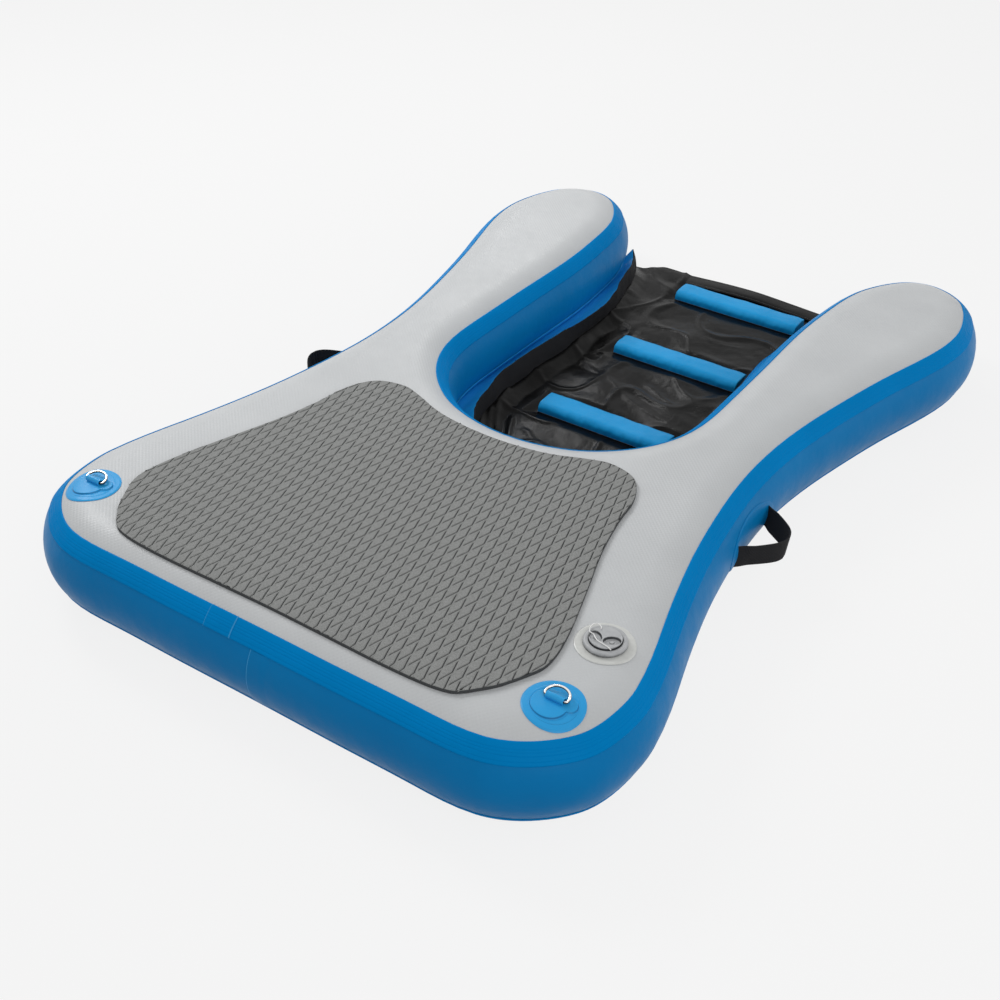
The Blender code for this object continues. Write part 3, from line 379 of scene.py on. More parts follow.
def ramp_cloth():
    """Black coated cloth with a faint plain weave under its gloss."""
    cloth = Finish("ramp_cloth", "UV", Roughness=0.2, Specular_IOR_Level=0.07)
    warp, weft = (cloth.waves(0.0009, direction, 0.2) for direction in "XY")
    cloth.tint(cloth.mottle(0.05, 4, (0.0025, 0.0025, 0.0025), (0.005, 0.0049, 0.0048)))
    cloth.relief(sums(cloth.tree, "MULTIPLY", warp, weft), 0.00003)
    cloth.relief(cloth.speckle(0.024, 3), 0.0008)
    cloth.dull(cloth.mottle(0.05, 4, 0.19, 0.27))
    return cloth.material


def pebbled_vinyl():
    """The rungs' bright cover, with a pebble grain and painted shade on its steep front and lower faces.
    """
    vinyl = Finish("pebbled_vinyl", Roughness=0.36, Specular_IOR_Level=0.08)
    # The third, darker colour is painted shade on the steep faces
    vinyl.tint(vinyl.mottle(0.04, 3, (0.010, 0.30, 0.64), (0.020, 0.34, 0.71), (0.003, 0.17, 0.41)))
    pebbles = node(vinyl.tree, "TexVoronoi", [("Vector", vinyl.place)], [("Scale", 620.0)])
    vinyl.relief(pebbles.outputs["Distance"], 0.0003)
    vinyl.relief(vinyl.speckle(0.012, 2), 0.0008)
    return vinyl.material


def chrome():
    """Polished steel wire with a painted reflection: bright along its top and dark where it turns down.
    """
    steel = Finish("chrome", Roughness=0.12, Metallic=1.0)
    # Painted reflection: dark where the wire faces down, bright where it faces up
    dark, middle, bright = (0.05, 0.045, 0.04), (0.26, 0.24, 0.22), (0.88, 0.87, 0.85)
    steel.tint(steel.ramp(steel.slopes(), (0.1, dark), (0.6, middle), (1.0, bright)))
    steel.dull(steel.mottle(0.003, 4, 0.08, 0.17))
    return steel.material


def moulded(name, low, high, roughness=0.42, steep=None):
    """Moulded plastic with a fine grain, and painted shade in another colour on its steep faces when one
    is given.
    """
    plastic = Finish(name, Roughness=roughness)
    plastic.tint(plastic.mottle(0.006, 4, low, high, steep))
    plastic.relief(plastic.speckle(0.0006, 3), 0.00008)
    return plastic.material


def thread():
    """Black sewing thread."""
    sewing = Finish("thread", Roughness=0.7, Sheen_Weight=0.3)
    sewing.tint(sewing.mottle(0.0007, 2, (0.01, 0.01, 0.01), (0.03, 0.03, 0.03)))
    sewing.relief(sewing.speckle(0.0004, 1), 0.0001)
    return sewing.material


def parts_of(made, kind):
    """The parts of one kind among the vertices, edges and faces that an operator made."""
    return [part for part in made if isinstance(part, kind)]


def tree_of(points):
    """A tree that finds the nearest of some points."""
    tree = kdtree.KDTree(len(points))
    for index, point in enumerate(points):
        tree.insert(point, index)
    tree.balance()
    return tree


def smooth_step(share):
    """0 below 0 and 1 above 1, with an even rise between them."""
    share = min(1.0, max(0.0, share))
    return share * share * (3 - 2 * share)


def wrinkle(x, y, seed):
    """A smooth noise from -1 to 1."""
    return noise.noise(Vector((x, y, seed)))


def on_circle(radius, turn):
    """A place on a circle about 0."""
    return radius * cos(turn), radius * sin(turn)


def middle_of(name):
    """The middle of a CAD node's box."""
    low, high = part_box(name)
    return low.lerp(high, 0.5)


def half_size(name, axis=0):
    """Half the length of a CAD node's box along an axis."""
    low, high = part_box(name)
    return (high[axis] - low[axis]) / 2


def heading(points):
    """The unit directions along a closed row of points."""
    ahead = np.roll(points, -1, 0) - np.roll(points, 1, 0)
    return ahead / np.linalg.norm(ahead, axis=1)[:, None]


def right_of(directions):
    """The directions turned clockwise by a right angle."""
    return np.stack([directions[:, 1], -directions[:, 0]], 1)


def merged(name):
    """A copy of a CAD node's mesh with its triangles joined up."""
    bm = bmesh.new()
    bm.from_mesh(frame["nodes"][name].data)
    bmesh.ops.remove_doubles(bm, verts=bm.verts, dist=MERGE)
    return bm


def walk(edges, start):
    """The vertices of a closed row of edges, from start and first towards +X."""
    near = {}
    for edge in edges:
        for vert in edge.verts:
            near.setdefault(vert, []).append(edge.other_vert(vert))
    row = [start, max(near[start], key=lambda vert: vert.co.x)]
    while True:
        ahead = [vert for vert in near[row[-1]] if vert != row[-2]]
        if ahead[0] == start:
            return row
        row.append(ahead[0])


def rounded(points, tangents, steps):
    """A closed smooth line through points with those directions."""
    after = np.roll(points, -1, 0)
    chord = np.linalg.norm(after - points, axis=1)[:, None]
    start, end = tangents * chord, np.roll(tangents, -1, 0) * chord
    rows = []
    for t in np.arange(steps) / steps:
        rows.append(
            (2 * t**3 - 3 * t**2 + 1) * points
            + (t**3 - 2 * t**2 + t) * start
            + (3 * t**2 - 2 * t**3) * after
            + (t**3 - t**2) * end
        )
    return np.stack(rows, 1).reshape(-1, 2)


def hull_outline():
    """The hull's outermost line and its outward directions, from the side wall's middle height."""
    bm = merged("side_wall")
    level = [vert for vert in bm.verts if abs(vert.co.z - WALL_RADIUS) < 10 * MERGE]
    edges = [edge for edge in bm.edges if all(vert in set(level) for vert in edge.verts)]
    outer = walk(edges, min(level, key=lambda vert: (round(abs(vert.co.x), 3), vert.co.y)))
    inner_tree = tree_of([vert.co for vert in level if vert not in set(outer)])
    points = np.array([vert.co.xy for vert in outer])
    normals = np.array([(vert.co - inner_tree.find(vert.co)[0]).xy.normalized() for vert in outer])
    bm.free()
    places = rounded(points, -right_of(normals), CURVE_STEPS)
    return places, right_of(heading(places))


PLAN, OUT = hull_outline()
COUNT = len(PLAN)
# Half the outline's points, up to the slot's foot, and the one at the arm's tip
HALF = COUNT // 2
TIP = int(np.argmax(PLAN[:HALF, 1]))
CENTRE = PLAN - OUT * WALL_RADIUS
CLOSED = [np.vstack([values, values[:1]]) for values in (PLAN, OUT)]
ALONG = np.concatenate([[0], np.cumsum(np.linalg.norm(np.diff(CLOSED[0], axis=0), axis=1))])
PERIMETER = ALONG[-1]
HULL_TREE = tree_of([(x, y, 0) for x, y in PLAN])


def hull_at(along):
    """The outline's point and outward direction, so far along it from the dock's middle towards +X."""
    spot = along % PERIMETER
    values = [np.array([np.interp(spot, ALONG, part[:, axis]) for axis in (0, 1)]) for part in CLOSED]
    return values[0], values[1] / np.linalg.norm(values[1])


def wall_spot(along, angle, lift):
    """A point on the wall, at an angle from its top and so far off it."""
    place, out = hull_at(along)
    radius = WALL_RADIUS + lift
    x, y = place - out * WALL_RADIUS + out * radius * sin(angle)
    return Vector((x, y, WALL_RADIUS + radius * cos(angle)))


def drape(x, y, lift):
    """A point that lies lift above the deck, and follows it over its edge."""
    _, index, _ = HULL_TREE.find((x, y, 0))
    off = max(0.0, float((np.array((x, y)) - CENTRE[index]) @ OUT[index]))
    radius = WALL_RADIUS + lift
    return Vector((x, y, WALL_RADIUS + sqrt(max(radius**2 - off**2, 0))))


def bent_grid(across, along, place, size=(1.0, 1.0), joined=False):
    """A grid whose point at (u, v), each from 0 to 1, goes to place(u, v), with a UV map of that size."""
    bm = bmesh.new()
    uv = bm.loops.layers.uv.new("UVMap")
    bmesh.ops.create_grid(bm, x_segments=along, y_segments=across, size=0.5)
    spots = {vert: (vert.co.x + 0.5, vert.co.y + 0.5) for vert in bm.verts}
    for face in bm.faces:
        for loop in face.loops:
            u, v = spots[loop.vert]
            loop[uv].uv = (u * size[0], v * size[1])
    for vert, (u, v) in spots.items():
        vert.co = place(u, v)
    if joined:
        bmesh.ops.remove_doubles(bm, verts=bm.verts, dist=MERGE)
    bm.normal_update()
    return bm


def thicken(bm, depth):
    """Gives a sheet a closed wall of that depth behind its faces."""
    made = bmesh.ops.extrude_face_region(bm, geom=bm.faces[:], use_keep_orig=True)["geom"]
    bm.normal_update()
    moves = [(vert, vert.normal * depth) for vert in parts_of(made, BMVert)]
    for vert, move in moves:
        vert.co -= move
    return bm


def mark_slopes(bm, steep, level):
    """Keeps a share at each vertex: 0 where its normal's Z is steep or less, and 1 from level up."""
    bmesh.ops.recalc_face_normals(bm, faces=bm.faces)
    bm.normal_update()
    layer = bm.verts.layers.float.new(SLOPE)
    for vert in bm.verts:
        vert[layer] = smooth_step((vert.normal.z - steep) / (level - steep))


def add_object(name, data):
    """A new object in the scene."""
    made = bpy.data.objects.new(name, data)
    bpy.context.collection.objects.link(made)
    return made


def mesh_of(name, bm, finishes):
    """A new mesh from the bmesh, with its materials."""
    mesh = bpy.data.meshes.new(name)
    bm.to_mesh(mesh)
    bm.free()
    for finish_used in finishes:
        mesh.materials.append(finish_used)
    return mesh


def piece(name, bm, finish_of, body, replaces=(), sharp=35):
    """The bmesh as a piece that rides on a body, or on none when no body is given."""
    bmesh.ops.recalc_face_normals(bm, faces=bm.faces)
    mesh = mesh_of(name, bm, finish_of if isinstance(finish_of, list) else [finish_of])
    mesh.shade_smooth()
    mesh.set_sharp_from_angle(angle=radians(sharp))
    made = add_object(name, mesh)
    if body:
        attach(made, body)
    if replaces:
        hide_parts(*replaces)
    return made


def round_hull(start, end, rows, lift=None):
    """A sheet round the whole hull between two angles, lift(share from the first) off its wall."""

    def place(u, v):
        index = round(u * COUNT) % COUNT
        angle = end + (start - end) * v
        radius = WALL_RADIUS + (lift(1 - v) if lift else 0.0)
        x, y = CENTRE[index] + OUT[index] * radius * sin(angle)
        return x, y, WALL_RADIUS + radius * cos(angle)

    return bent_grid(rows, COUNT, place, (PERIMETER, WALL_RADIUS * (end - start)), joined=True)


def build_deck(name, on_top, material, replaces):
    """The deck or the bottom: flat, and turned over the edge as far as the seam tape covers it."""
    bm = round_hull(0, DECK_EDGE, 10)
    rim = [edge for edge in bm.edges if all(HULL_TOP - vert.co.z < MERGE for vert in edge.verts)]
    made = bmesh.ops.extrude_edge_only(bm, edges=rim)["geom"]
    for vert in parts_of(made, BMVert):
        _, index, _ = HULL_TREE.find((vert.co.x, vert.co.y, 0))
        vert.co.xy -= Vector(OUT[index]) * DECK_INSET
    inner = parts_of(made, BMEdge)
    if on_top:
        centre = middle_of("valve_body")
        matrix = Matrix.Translation((centre.x, centre.y, HULL_TOP))
        hole = bmesh.ops.create_circle(bm, segments=48, radius=VALVE_HOLE, matrix=matrix)["verts"]
        inner += [edge for edge in bm.edges if all(vert in set(hole) for vert in edge.verts)]
    bmesh.ops.triangle_fill(bm, use_beauty=True, edges=inner, normal=(0, 0, 1))
    thicken(bm, SKIN)
    if not on_top:
        bmesh.ops.scale(bm, verts=bm.verts, vec=(1, 1, -1))
        bmesh.ops.translate(bm, verts=bm.verts, vec=(0, 0, HULL_TOP))
    piece(name, bm, material, "hull", replaces)


def tape_lift(share):
    """The seam tape's surface off the wall: a slope at each edge, and the welding roller's lines."""
    edge = min(1.0, min(share, 1 - share) / TAPE_EDGE)
    lines = sum(exp(-(((share - line) / ROLLER_WIDTH) ** 2)) for line in ROLLER_LINES)
    return TAPE_FOOT + TAPE_RISE * edge - ROLLER_DEPTH * lines


def build_wall(blue, tape_blue):
    """The side wall, and the seam tapes along its upper and lower edge."""
    bm = thicken(round_hull(*WALL_ANGLES, 34), SKIN)
    piece("hull_side_wall", bm, blue, "hull", ("side_wall", "drop_stitch_core"))
    bm = thicken(round_hull(TAPE_TOP_ANGLE, TAPE_LOW_ANGLE, 60, tape_lift), TAPE_SHEET)
    piece("hull_top_seam_tape", bm, tape_blue, "hull", ("top_seam_tape",))
    low, high = pi - TAPE_LOW_ANGLE, pi - TAPE_TOP_ANGLE
    bm = thicken(round_hull(low, high, 60, lambda share: tape_lift(1 - share)), TAPE_SHEET)
    piece("hull_bottom_seam_tape", bm, tape_blue, "hull", ("bottom_seam_tape",))


def build_joint(name, finishes, ends, angles, rows, far_slope, lift):
    """Two ends of the hull's vinyl, lapped over each other on the dock side, with a painted highlight
    along their cut edges.
    """
    length = ends[1] - ends[0]
    both_highlighted = far_slope == JOINT_SLOPE

    def place(u, v):
        angle = angles[1] + (angles[0] - angles[1]) * v
        raised = JOINT_LIFT * smooth_step(u / JOINT_SLOPE) * smooth_step((1 - u) / far_slope) - JOINT_SUNK
        return wall_spot(ends[0] + length * u, angle, lift(1 - v) + raised)

    bm = bent_grid(rows, 60, place, (length, 1))
    uv = bm.loops.layers.uv.active
    for face in bm.faces:
        # Faces at a cut edge get the paler blue: a painted highlight
        along = sum(loop[uv].uv.x for loop in face.loops) / len(face.loops)
        if along < LAP_HIGHLIGHT_WIDTH or (both_highlighted and along > length - LAP_HIGHLIGHT_WIDTH):
            face.material_index = 1
    piece(name, thicken(bm, TAPE_SHEET), finishes, "hull")


def pad_outline():
    """The pad's smooth outline, from its solid's upper rim."""
    bm = merged("traction_pad")
    bm.normal_update()
    rim = []
    for edge in bm.edges:
        slopes = sorted(face.normal.z for face in edge.link_faces)
        if len(slopes) == 2 and -0.5 < slopes[0] < 0.5 and slopes[1] > 0.8:
            rim.append(edge)
    ends = (vert for edge in rim for vert in edge.verts)
    start = min(ends, key=lambda vert: (round(vert.co.y, 4), abs(vert.co.x)))
    points = np.array([vert.co.xy for vert in walk(rim, start)])
    bm.free()
    return rounded(points, heading(points), CURVE_STEPS)


def lattice_place(x, y):
    """A place as its counts of the grooves that run one way and the other."""
    across, along = (x - LATTICE_POINT[0]) / CELL[0], (y - LATTICE_POINT[1]) / CELL[1]
    return across - along, across + along


def in_groove(p, q):
    """Whether a place in the lattice lies in a groove: each groove starts a quarter past its crossing."""
    off_p, off_q = (p + GROOVE_HALF) % 1, (q + GROOVE_HALF) % 1
    on_p, on_q = off_p < 2 * GROOVE_HALF, off_q < 2 * GROOVE_HALF
    start = GROOVE_START + GROOVE_HALF
    return (on_p and (off_q > start or on_q)) or (on_q and off_p > start)


def lattice_sheet(low, high):
    """A flat sheet over the pad's box, with a vertex row along both edges of every groove."""
    reach = [(high[axis] - low[axis]) / 2 + CELL[axis] for axis in (0, 1)]
    middle = [(high[axis] + low[axis]) / 2 for axis in (0, 1)]
    cells = ceil(reach[0] / CELL[0] + reach[1] / CELL[1])
    base_p, base_q = (round(value) - cells for value in lattice_place(*middle))
    offsets = (-GROOVE_HALF, GROOVE_HALF, GROOVE_START, 0.5, 0.75)
    lines = len(offsets) * 2 * cells
    bm = bmesh.new()
    bmesh.ops.create_grid(bm, x_segments=lines, y_segments=lines, size=0.5)
    for vert in bm.verts:
        i, j = round((vert.co.x + 0.5) * lines), round((vert.co.y + 0.5) * lines)
        p = base_p + i // len(offsets) + offsets[i % len(offsets)]
        q = base_q + j // len(offsets) + offsets[j % len(offsets)]
        x = LATTICE_POINT[0] + CELL[0] * (p + q) / 2
        vert.co = (x, LATTICE_POINT[1] + CELL[1] * (q - p) / 2, HULL_TOP)
    beyond = [v for v in bm.verts if any(abs(v.co[axis] - middle[axis]) > reach[axis] for axis in (0, 1))]
    bmesh.ops.delete(bm, geom=beyond, context="VERTS")
    return bm


def cut_out(bm, outline):
    """Trims the sheet to the outline, cutting every edge that crosses it."""
    normals = right_of(heading(outline))
    tree = tree_of([(x, y, 0) for x, y in outline])

    def outside(vert):
        _, index, _ = tree.find((vert.co.x, vert.co.y, 0))
        return float((np.array(vert.co.xy) - outline[index]) @ normals[index])

    off = {vert: outside(vert) for vert in bm.verts}
    crossing = [edge for edge in bm.edges if off[edge.verts[0]] * off[edge.verts[1]] < 0]
    shares = {edge: off[edge.verts[0]] / (off[edge.verts[0]] - off[edge.verts[1]]) for edge in crossing}
    made = bmesh.ops.bisect_edges(bm, edges=crossing, cuts=1, edge_percents=shares)["geom_split"]
    rim = set(parts_of(made, BMVert))
    bmesh.ops.connect_verts(bm, verts=list(rim))
    rest = [vert for vert in bm.verts if vert not in rim and outside(vert) > 0]
    bmesh.ops.delete(bm, geom=rest, context="VERTS")


def build_pad(foam, painted_shade_foam):
    """The foam pad: a lattice of grooves in its top, a chamfered edge, and its underside on the deck,
    with painted shade in the grooves and on its side.
    """
    outline = pad_outline()
    bm = lattice_sheet(outline.min(0), outline.max(0))
    cut_out(bm, outline)
    bm.normal_update()
    grooves = [face for face in bm.faces if in_groove(*lattice_place(*face.calc_center_median().xy))]
    edge = [part for part in bm.edges if part.is_boundary]
    made = bmesh.ops.extrude_edge_only(bm, edges=edge)["geom"]
    foot = parts_of(made, BMEdge)
    # The pad's side gets the dark foam: painted shade
    for face in parts_of(made, BMFace):
        face.material_index = 1
    for vert in parts_of(made, BMVert):
        vert.co.z -= PAD_THICKNESS
    bm.normal_update()
    bmesh.ops.inset_region(
        bm, faces=grooves, thickness=GROOVE_SLOPE, depth=-GROOVE_DEPTH, use_even_offset=True
    )
    # The grooves get the dark foam: painted shade
    for face in grooves:
        face.material_index = 1
    sharp = [part for part in bm.edges if len(part.link_faces) == 2 and part.calc_face_angle() > 1.2]
    rim = [part for part in sharp if min(vert.co.z for vert in part.verts) > HULL_TOP - MERGE]
    bmesh.ops.bevel(bm, geom=rim, offset=PAD_CHAMFER, segments=2, **BEVEL)
    foot = [part for part in foot if part.is_valid]
    bmesh.ops.triangle_fill(bm, use_beauty=True, edges=foot, normal=(0, 0, -1))
    for vert in bm.verts:
        vert.co.z = drape(vert.co.x, vert.co.y, vert.co.z - HULL_TOP + PAD_LIFT + PAD_THICKNESS).z
    piece("deck_pad", bm, [foam, painted_shade_foam], "hull", ("traction_pad",), sharp=20)


def disc_on_deck(centre, radius, lift, rings, sides=72, hole=0.0):
    """A round sheet on the deck, lift(share of the radius, turn) above it."""

    def place(u, v):
        turn = 2 * pi * u
        reach = hole + (radius - hole) * (1 - v)
        x, y = on_circle(reach, turn)
        return drape(centre[0] + x, centre[1] + y, lift(reach / radius, turn))

    return bent_grid(rings, sides, place, (2 * pi * radius, radius), joined=True)


def patch_lift(share, edge=0.03):
    """A welded patch's surface off the vinyl at a share of its radius, with a step at its rim."""
    return PATCH_LIFT + PATCH_RISE * smooth_step((1 - share) / edge)


def cover_lift(share, turn):
    """The tether cover's surface: a raised disc and lobe, a groove round them and a valley between."""
    x, y = on_circle(share * COVER_RADIUS, turn)
    off_disc, off_lobe = (hypot(x - at_x, y - at_y) - radius for at_x, at_y, radius in COVER_ROUNDS)
    off = min(off_disc, off_lobe)
    valley = 0.0005 * exp(-(((abs(off_disc - off_lobe) + abs(off)) / 0.0022) ** 2)) if off < 0 else 0.0
    groove = 0.0006 * exp(-(((off - 0.0008) / 0.0009) ** 2))
    step = 0.0017 * smooth_step(-off / 0.0012) - groove
    return 0.0016 + 0.0004 * smooth_step((1 - share) / 0.05) + step - valley


def build_tether_point(side, blue, step_shade_blue, steel):
    """One dock corner's welded patch, raised cover, folded sleeve and D-ring."""
    centre = middle_of(f"{side}_d_ring_patch")
    radius = half_size(f"{side}_d_ring_patch")
    bm = thicken(disc_on_deck(centre, radius, lambda share, turn: patch_lift(share), 24), PATCH_SHEET)
    piece(f"{side}_tether_patch", bm, blue, "hull", (f"{side}_d_ring_patch",))
    bm = thicken(disc_on_deck(centre, COVER_RADIUS, cover_lift, 64, 144), COVER_SHEET)
    # The slope share places painted shade along the cover's steps
    mark_slopes(bm, 0.35, 0.99)
    piece(f"{side}_tether_cover", bm, step_shade_blue, "hull", (f"{side}_d_ring_cover",))
    build_sleeve(side, blue)
    build_ring(side, steel)


def build_sleeve(side, blue):
    """The fabric folded round the D-ring's bar, with both its tails on the cover under the ring."""
    axis = Vector(JOINTS[f"{side}_d_ring_flip"]["pos_m"])
    low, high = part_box(f"{side}_d_ring_sleeve")
    half = (high.x - low.x) / 2
    outer = high.z - axis.z + SLEEVE_LIFT
    foot = low.z - axis.z
    path = [(0.0130, foot + 0.0016), (0.0100, foot + 0.0019), (0.0068, foot + 0.0027)]
    path += [on_circle(outer, turn) for turn in np.radians(range(35, 271, 12))]
    path += [(0.0050, foot + 0.0001), (0.0130, foot + 0.0001)]
    steps = len(path) - 1

    def place(u, v):
        y, z = path[round(u * steps)]
        flare = 1 + 0.10 * smooth_step((0.25 - u) / 0.2)
        pinch = 0.0002 * cos(v * 2 * pi) * smooth_step((z - foot) / outer)
        return axis.x + (v * 2 - 1) * half * flare, axis.y + y, axis.z + z - pinch

    bm = thicken(bent_grid(16, steps, place), SLEEVE_SHEET)
    piece(f"{side}_tether_sleeve", bm, blue, "hull", (f"{side}_d_ring_sleeve",), sharp=50)


def build_ring(side, steel):
    """A D-ring: a straight bar, small corners and a flat bow, bent from round wire."""
    axis = Vector(JOINTS[f"{side}_d_ring_flip"]["pos_m"])
    half = half_size(f"{side}_d_ring") - RING_WIRE
    corner = RING_LEG * 0.625
    corner_turns, bow_turns = np.radians(range(-90, 1, 15)), np.radians(range(0, 181, 5))
    bend = [(half - corner + corner * cos(a), corner + corner * sin(a)) for a in corner_turns]
    line = bend + [(half * cos(a), RING_LEG + RING_BOW * sin(a)) for a in bow_turns]
    line += [(-x, z) for x, z in reversed(bend)]
    count = len(line)
    ahead = heading(np.array(line))
    move = Matrix.Translation(axis) @ Matrix.Rotation(RING_TILT - pi / 2, 4, "X")

    def place(u, v):
        index = round(u * count) % count
        turn = 2 * pi * v
        x, z = line[index]
        reach, off = on_circle(RING_WIRE, turn)
        return move @ Vector((x + ahead[index][1] * reach, off, z - ahead[index][0] * reach))

    bm = bent_grid(20, count, place, (0.1, 0.0126), joined=True)
    # The slope share places the chrome's painted reflection on the ring: dark underneath, bright on top
    mark_slopes(bm, -0.1, 1.0)
    piece(f"{side}_tether_ring", bm, steel, f"{side}_d_ring", (f"{side}_d_ring",), sharp=80)


def turned(profile, centre, sides=96):
    """A body spun from a closed profile of (radius, height) points."""
    bm = bmesh.new()
    verts = [bm.verts.new((centre.x + radius, centre.y, height)) for radius, height in profile]
    for before, after in zip(verts, verts[1:] + verts[:1]):
        bm.edges.new((before, after))
    bmesh.ops.spin(
        bm, geom=bm.verts[:] + bm.edges[:], cent=(centre.x, centre.y, 0), axis=(0, 0, 1),
        angle=2 * pi, steps=sides, use_merge=True,
    )
    bmesh.ops.remove_doubles(bm, verts=bm.verts, dist=MERGE)
    bmesh.ops.recalc_face_normals(bm, faces=bm.faces)
    return bm


def build_valve(grey, painted_shade_grey, seal, patch_grey):
    """The inflation valve: a welded patch, the round rim, the cap and the parts under it."""
    low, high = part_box("valve_body")
    centre = middle_of("valve_body")
    sheet = disc_on_deck(
        centre, half_size("valve_patch"), lambda share, turn: patch_lift(share, 0.04), 20, hole=VALVE_HOLE
    )
    bm = thicken(sheet, PATCH_SHEET)
    piece("valve_welded_patch", bm, patch_grey, "hull", ("valve_patch",))
    neck, recess, bore, seat, plate, fillet = 0.017, 0.0212, 0.0135, 0.0095, 0.0025, 0.0030
    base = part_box("valve_cap_gasket")[0].z - 0.0003 - plate
    rim, top, foot = (high.x - low.x) / 2, high.z, low.z
    profile = [(neck, foot), (neck, base), (rim - 0.0006, base), (rim, base + 0.0006)]
    profile += [
        (rim - fillet * (1 - cos(turn)), top - fillet * (1 - sin(turn)))
        for turn in np.radians(range(0, 91, 15))
    ]
    profile += [(recess + 0.0010, top), (recess + 0.0003, top - 0.0003), (recess, top - 0.0010)]
    profile += [(recess, base + plate), (bore, base + plate), (bore, foot + 0.003)]
    profile += [(seat, foot + 0.003), (seat, foot)]
    bm = turned(profile, centre)
    # The slope share places painted shade on the rim's steep walls
    mark_slopes(bm, -0.6, 0.7)
    piece("valve_rim", bm, painted_shade_grey, "hull", ("valve_body",), sharp=40)
    build_cap(centre, painted_shade_grey)
    for name in ("valve_nut", "valve_guide", "valve_poppet"):
        dress(name, grey)
    for name in ("valve_poppet_seal", "valve_cap_gasket"):
        dress(name, seal)


def dress(name, material):
    """Gives a CAD node that stays its material."""
    data = frame["nodes"][name].data
    data.materials.clear()
    data.materials.append(material)


def build_cap(centre, grey):
    """The cap: a disc with two deep finger scoops, and the grip that they leave between them."""
    low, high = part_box("valve_cap")
    radius = half_size("valve_cap")
    plate = high.z - 0.0004

    def scooped(x, y):
        deepest = 0.0
        for pit_x, pit_y, turn in CAP_SCOOPS:
            along = (x - pit_x) * cos(turn) + (y - pit_y) * sin(turn)
            across = (y - pit_y) * cos(turn) - (x - pit_x) * sin(turn)
            share = (along / SCOOP_SIZE[0]) ** 2 + (across / SCOOP_SIZE[1]) ** 2
            boss = 0.35 * smooth_step((0.10 - share) / 0.06)
            deepest = max(deepest, smooth_step((1 - share) / 0.36) - boss)
        return deepest

    def place(u, v):
        turn = 2 * pi * u
        reach = radius * (1 - v)
        x, y = on_circle(reach, turn)
        edge = smooth_step((reach / radius - 0.95) / 0.05)
        dome = 0.0004 * (1 - (reach / radius) ** 2)
        return centre.x + x, centre.y + y, plate + dome - 0.0008 * edge - SCOOP_DEPTH * scooped(x, y)

    bm = bent_grid(60, 144, place, joined=True)
    made = bmesh.ops.extrude_face_region(bm, geom=bm.faces[:], use_keep_orig=True)["geom"]
    for vert in parts_of(made, BMVert):
        vert.co.z = low.z
    # The slope share places painted shade on the scoops' steep walls
    mark_slopes(bm, 0.5, 0.97)
    piece("valve_grip_cap", bm, grey, "valve_cap", ("valve_cap",), sharp=40)


def tube_along(points, radius):
    """A closed round bar along points."""
    points = [Vector(point) for point in points]
    count = len(points) - 1

    def place(u, v):
        index = round(u * count)
        ahead = (points[min(index + 1, count)] - points[max(index - 1, 0)]).normalized()
        side = ahead.cross(Vector((0, 0, 1))).normalized()
        up = side.cross(ahead)
        turn = 2 * pi * v
        return points[index] + (side * cos(turn) + up * sin(turn)) * radius

    bm = bent_grid(TUBE_SIDES, count, place, joined=True)
    open_edges = [edge for edge in bm.edges if edge.is_boundary]
    bmesh.ops.holes_fill(bm, edges=open_edges, sides=TUBE_SIDES)
    return bm


def spline(points, steps):
    """Catmull-Rom points through a row of points."""
    points = [Vector(point) for point in points]
    ends = [points[0], *points, points[-1]]
    found = []
    for a, b, c, d in zip(ends, ends[1:], ends[2:], ends[3:]):
        for step in range(steps):
            t = step / steps
            bend, twist = 2 * a - 5 * b + 4 * c - d, 3 * b - a - 3 * c + d
            found.append((2 * b + (c - a) * t + bend * t**2 + twist * t**3) / 2)
    found.append(points[-1])
    return found


def build_spring(steel):
    """The poppet's return spring, squeezed between the guide and the poppet's button."""
    low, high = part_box("valve_spring")
    centre = middle_of("valve_body")
    bottom, rise = low.z + SPRING_WIRE, high.z - low.z - 2 * SPRING_WIRE
    count = SPRING_TURNS * SPRING_STEPS
    points = []
    for i in range(count + 1):
        x, y = on_circle(SPRING_RADIUS, 2 * pi * i / SPRING_STEPS)
        points.append((centre.x + x, centre.y + y, bottom + rise * i / count))
    bm = tube_along(points, SPRING_WIRE)
    # The slope share places the chrome's painted reflection on the spring wire
    mark_slopes(bm, -1.5, 1.0)
    spring = piece("valve_return_spring", bm, steel, None, sharp=80)
    start, end = ((centre.x, centre.y, level) for level in (low.z, high.z))
    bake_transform(spring)
    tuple(start)
    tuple(end)
    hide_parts("valve_spring")


def build_tether_line(white):
    """The thin line that keeps the cap on the valve."""
    low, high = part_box("valve_cap_tether")
    centre = middle_of("valve_body")
    points = spline([(centre.x + x, centre.y + y, (low.z + high.z) / 2) for x, y in TETHER_ROUTE], 6)
    bm = tube_along(points, TETHER_RADIUS)
    piece("valve_tether_line", bm, white, "hull", ("valve_cap_tether",), sharp=80)


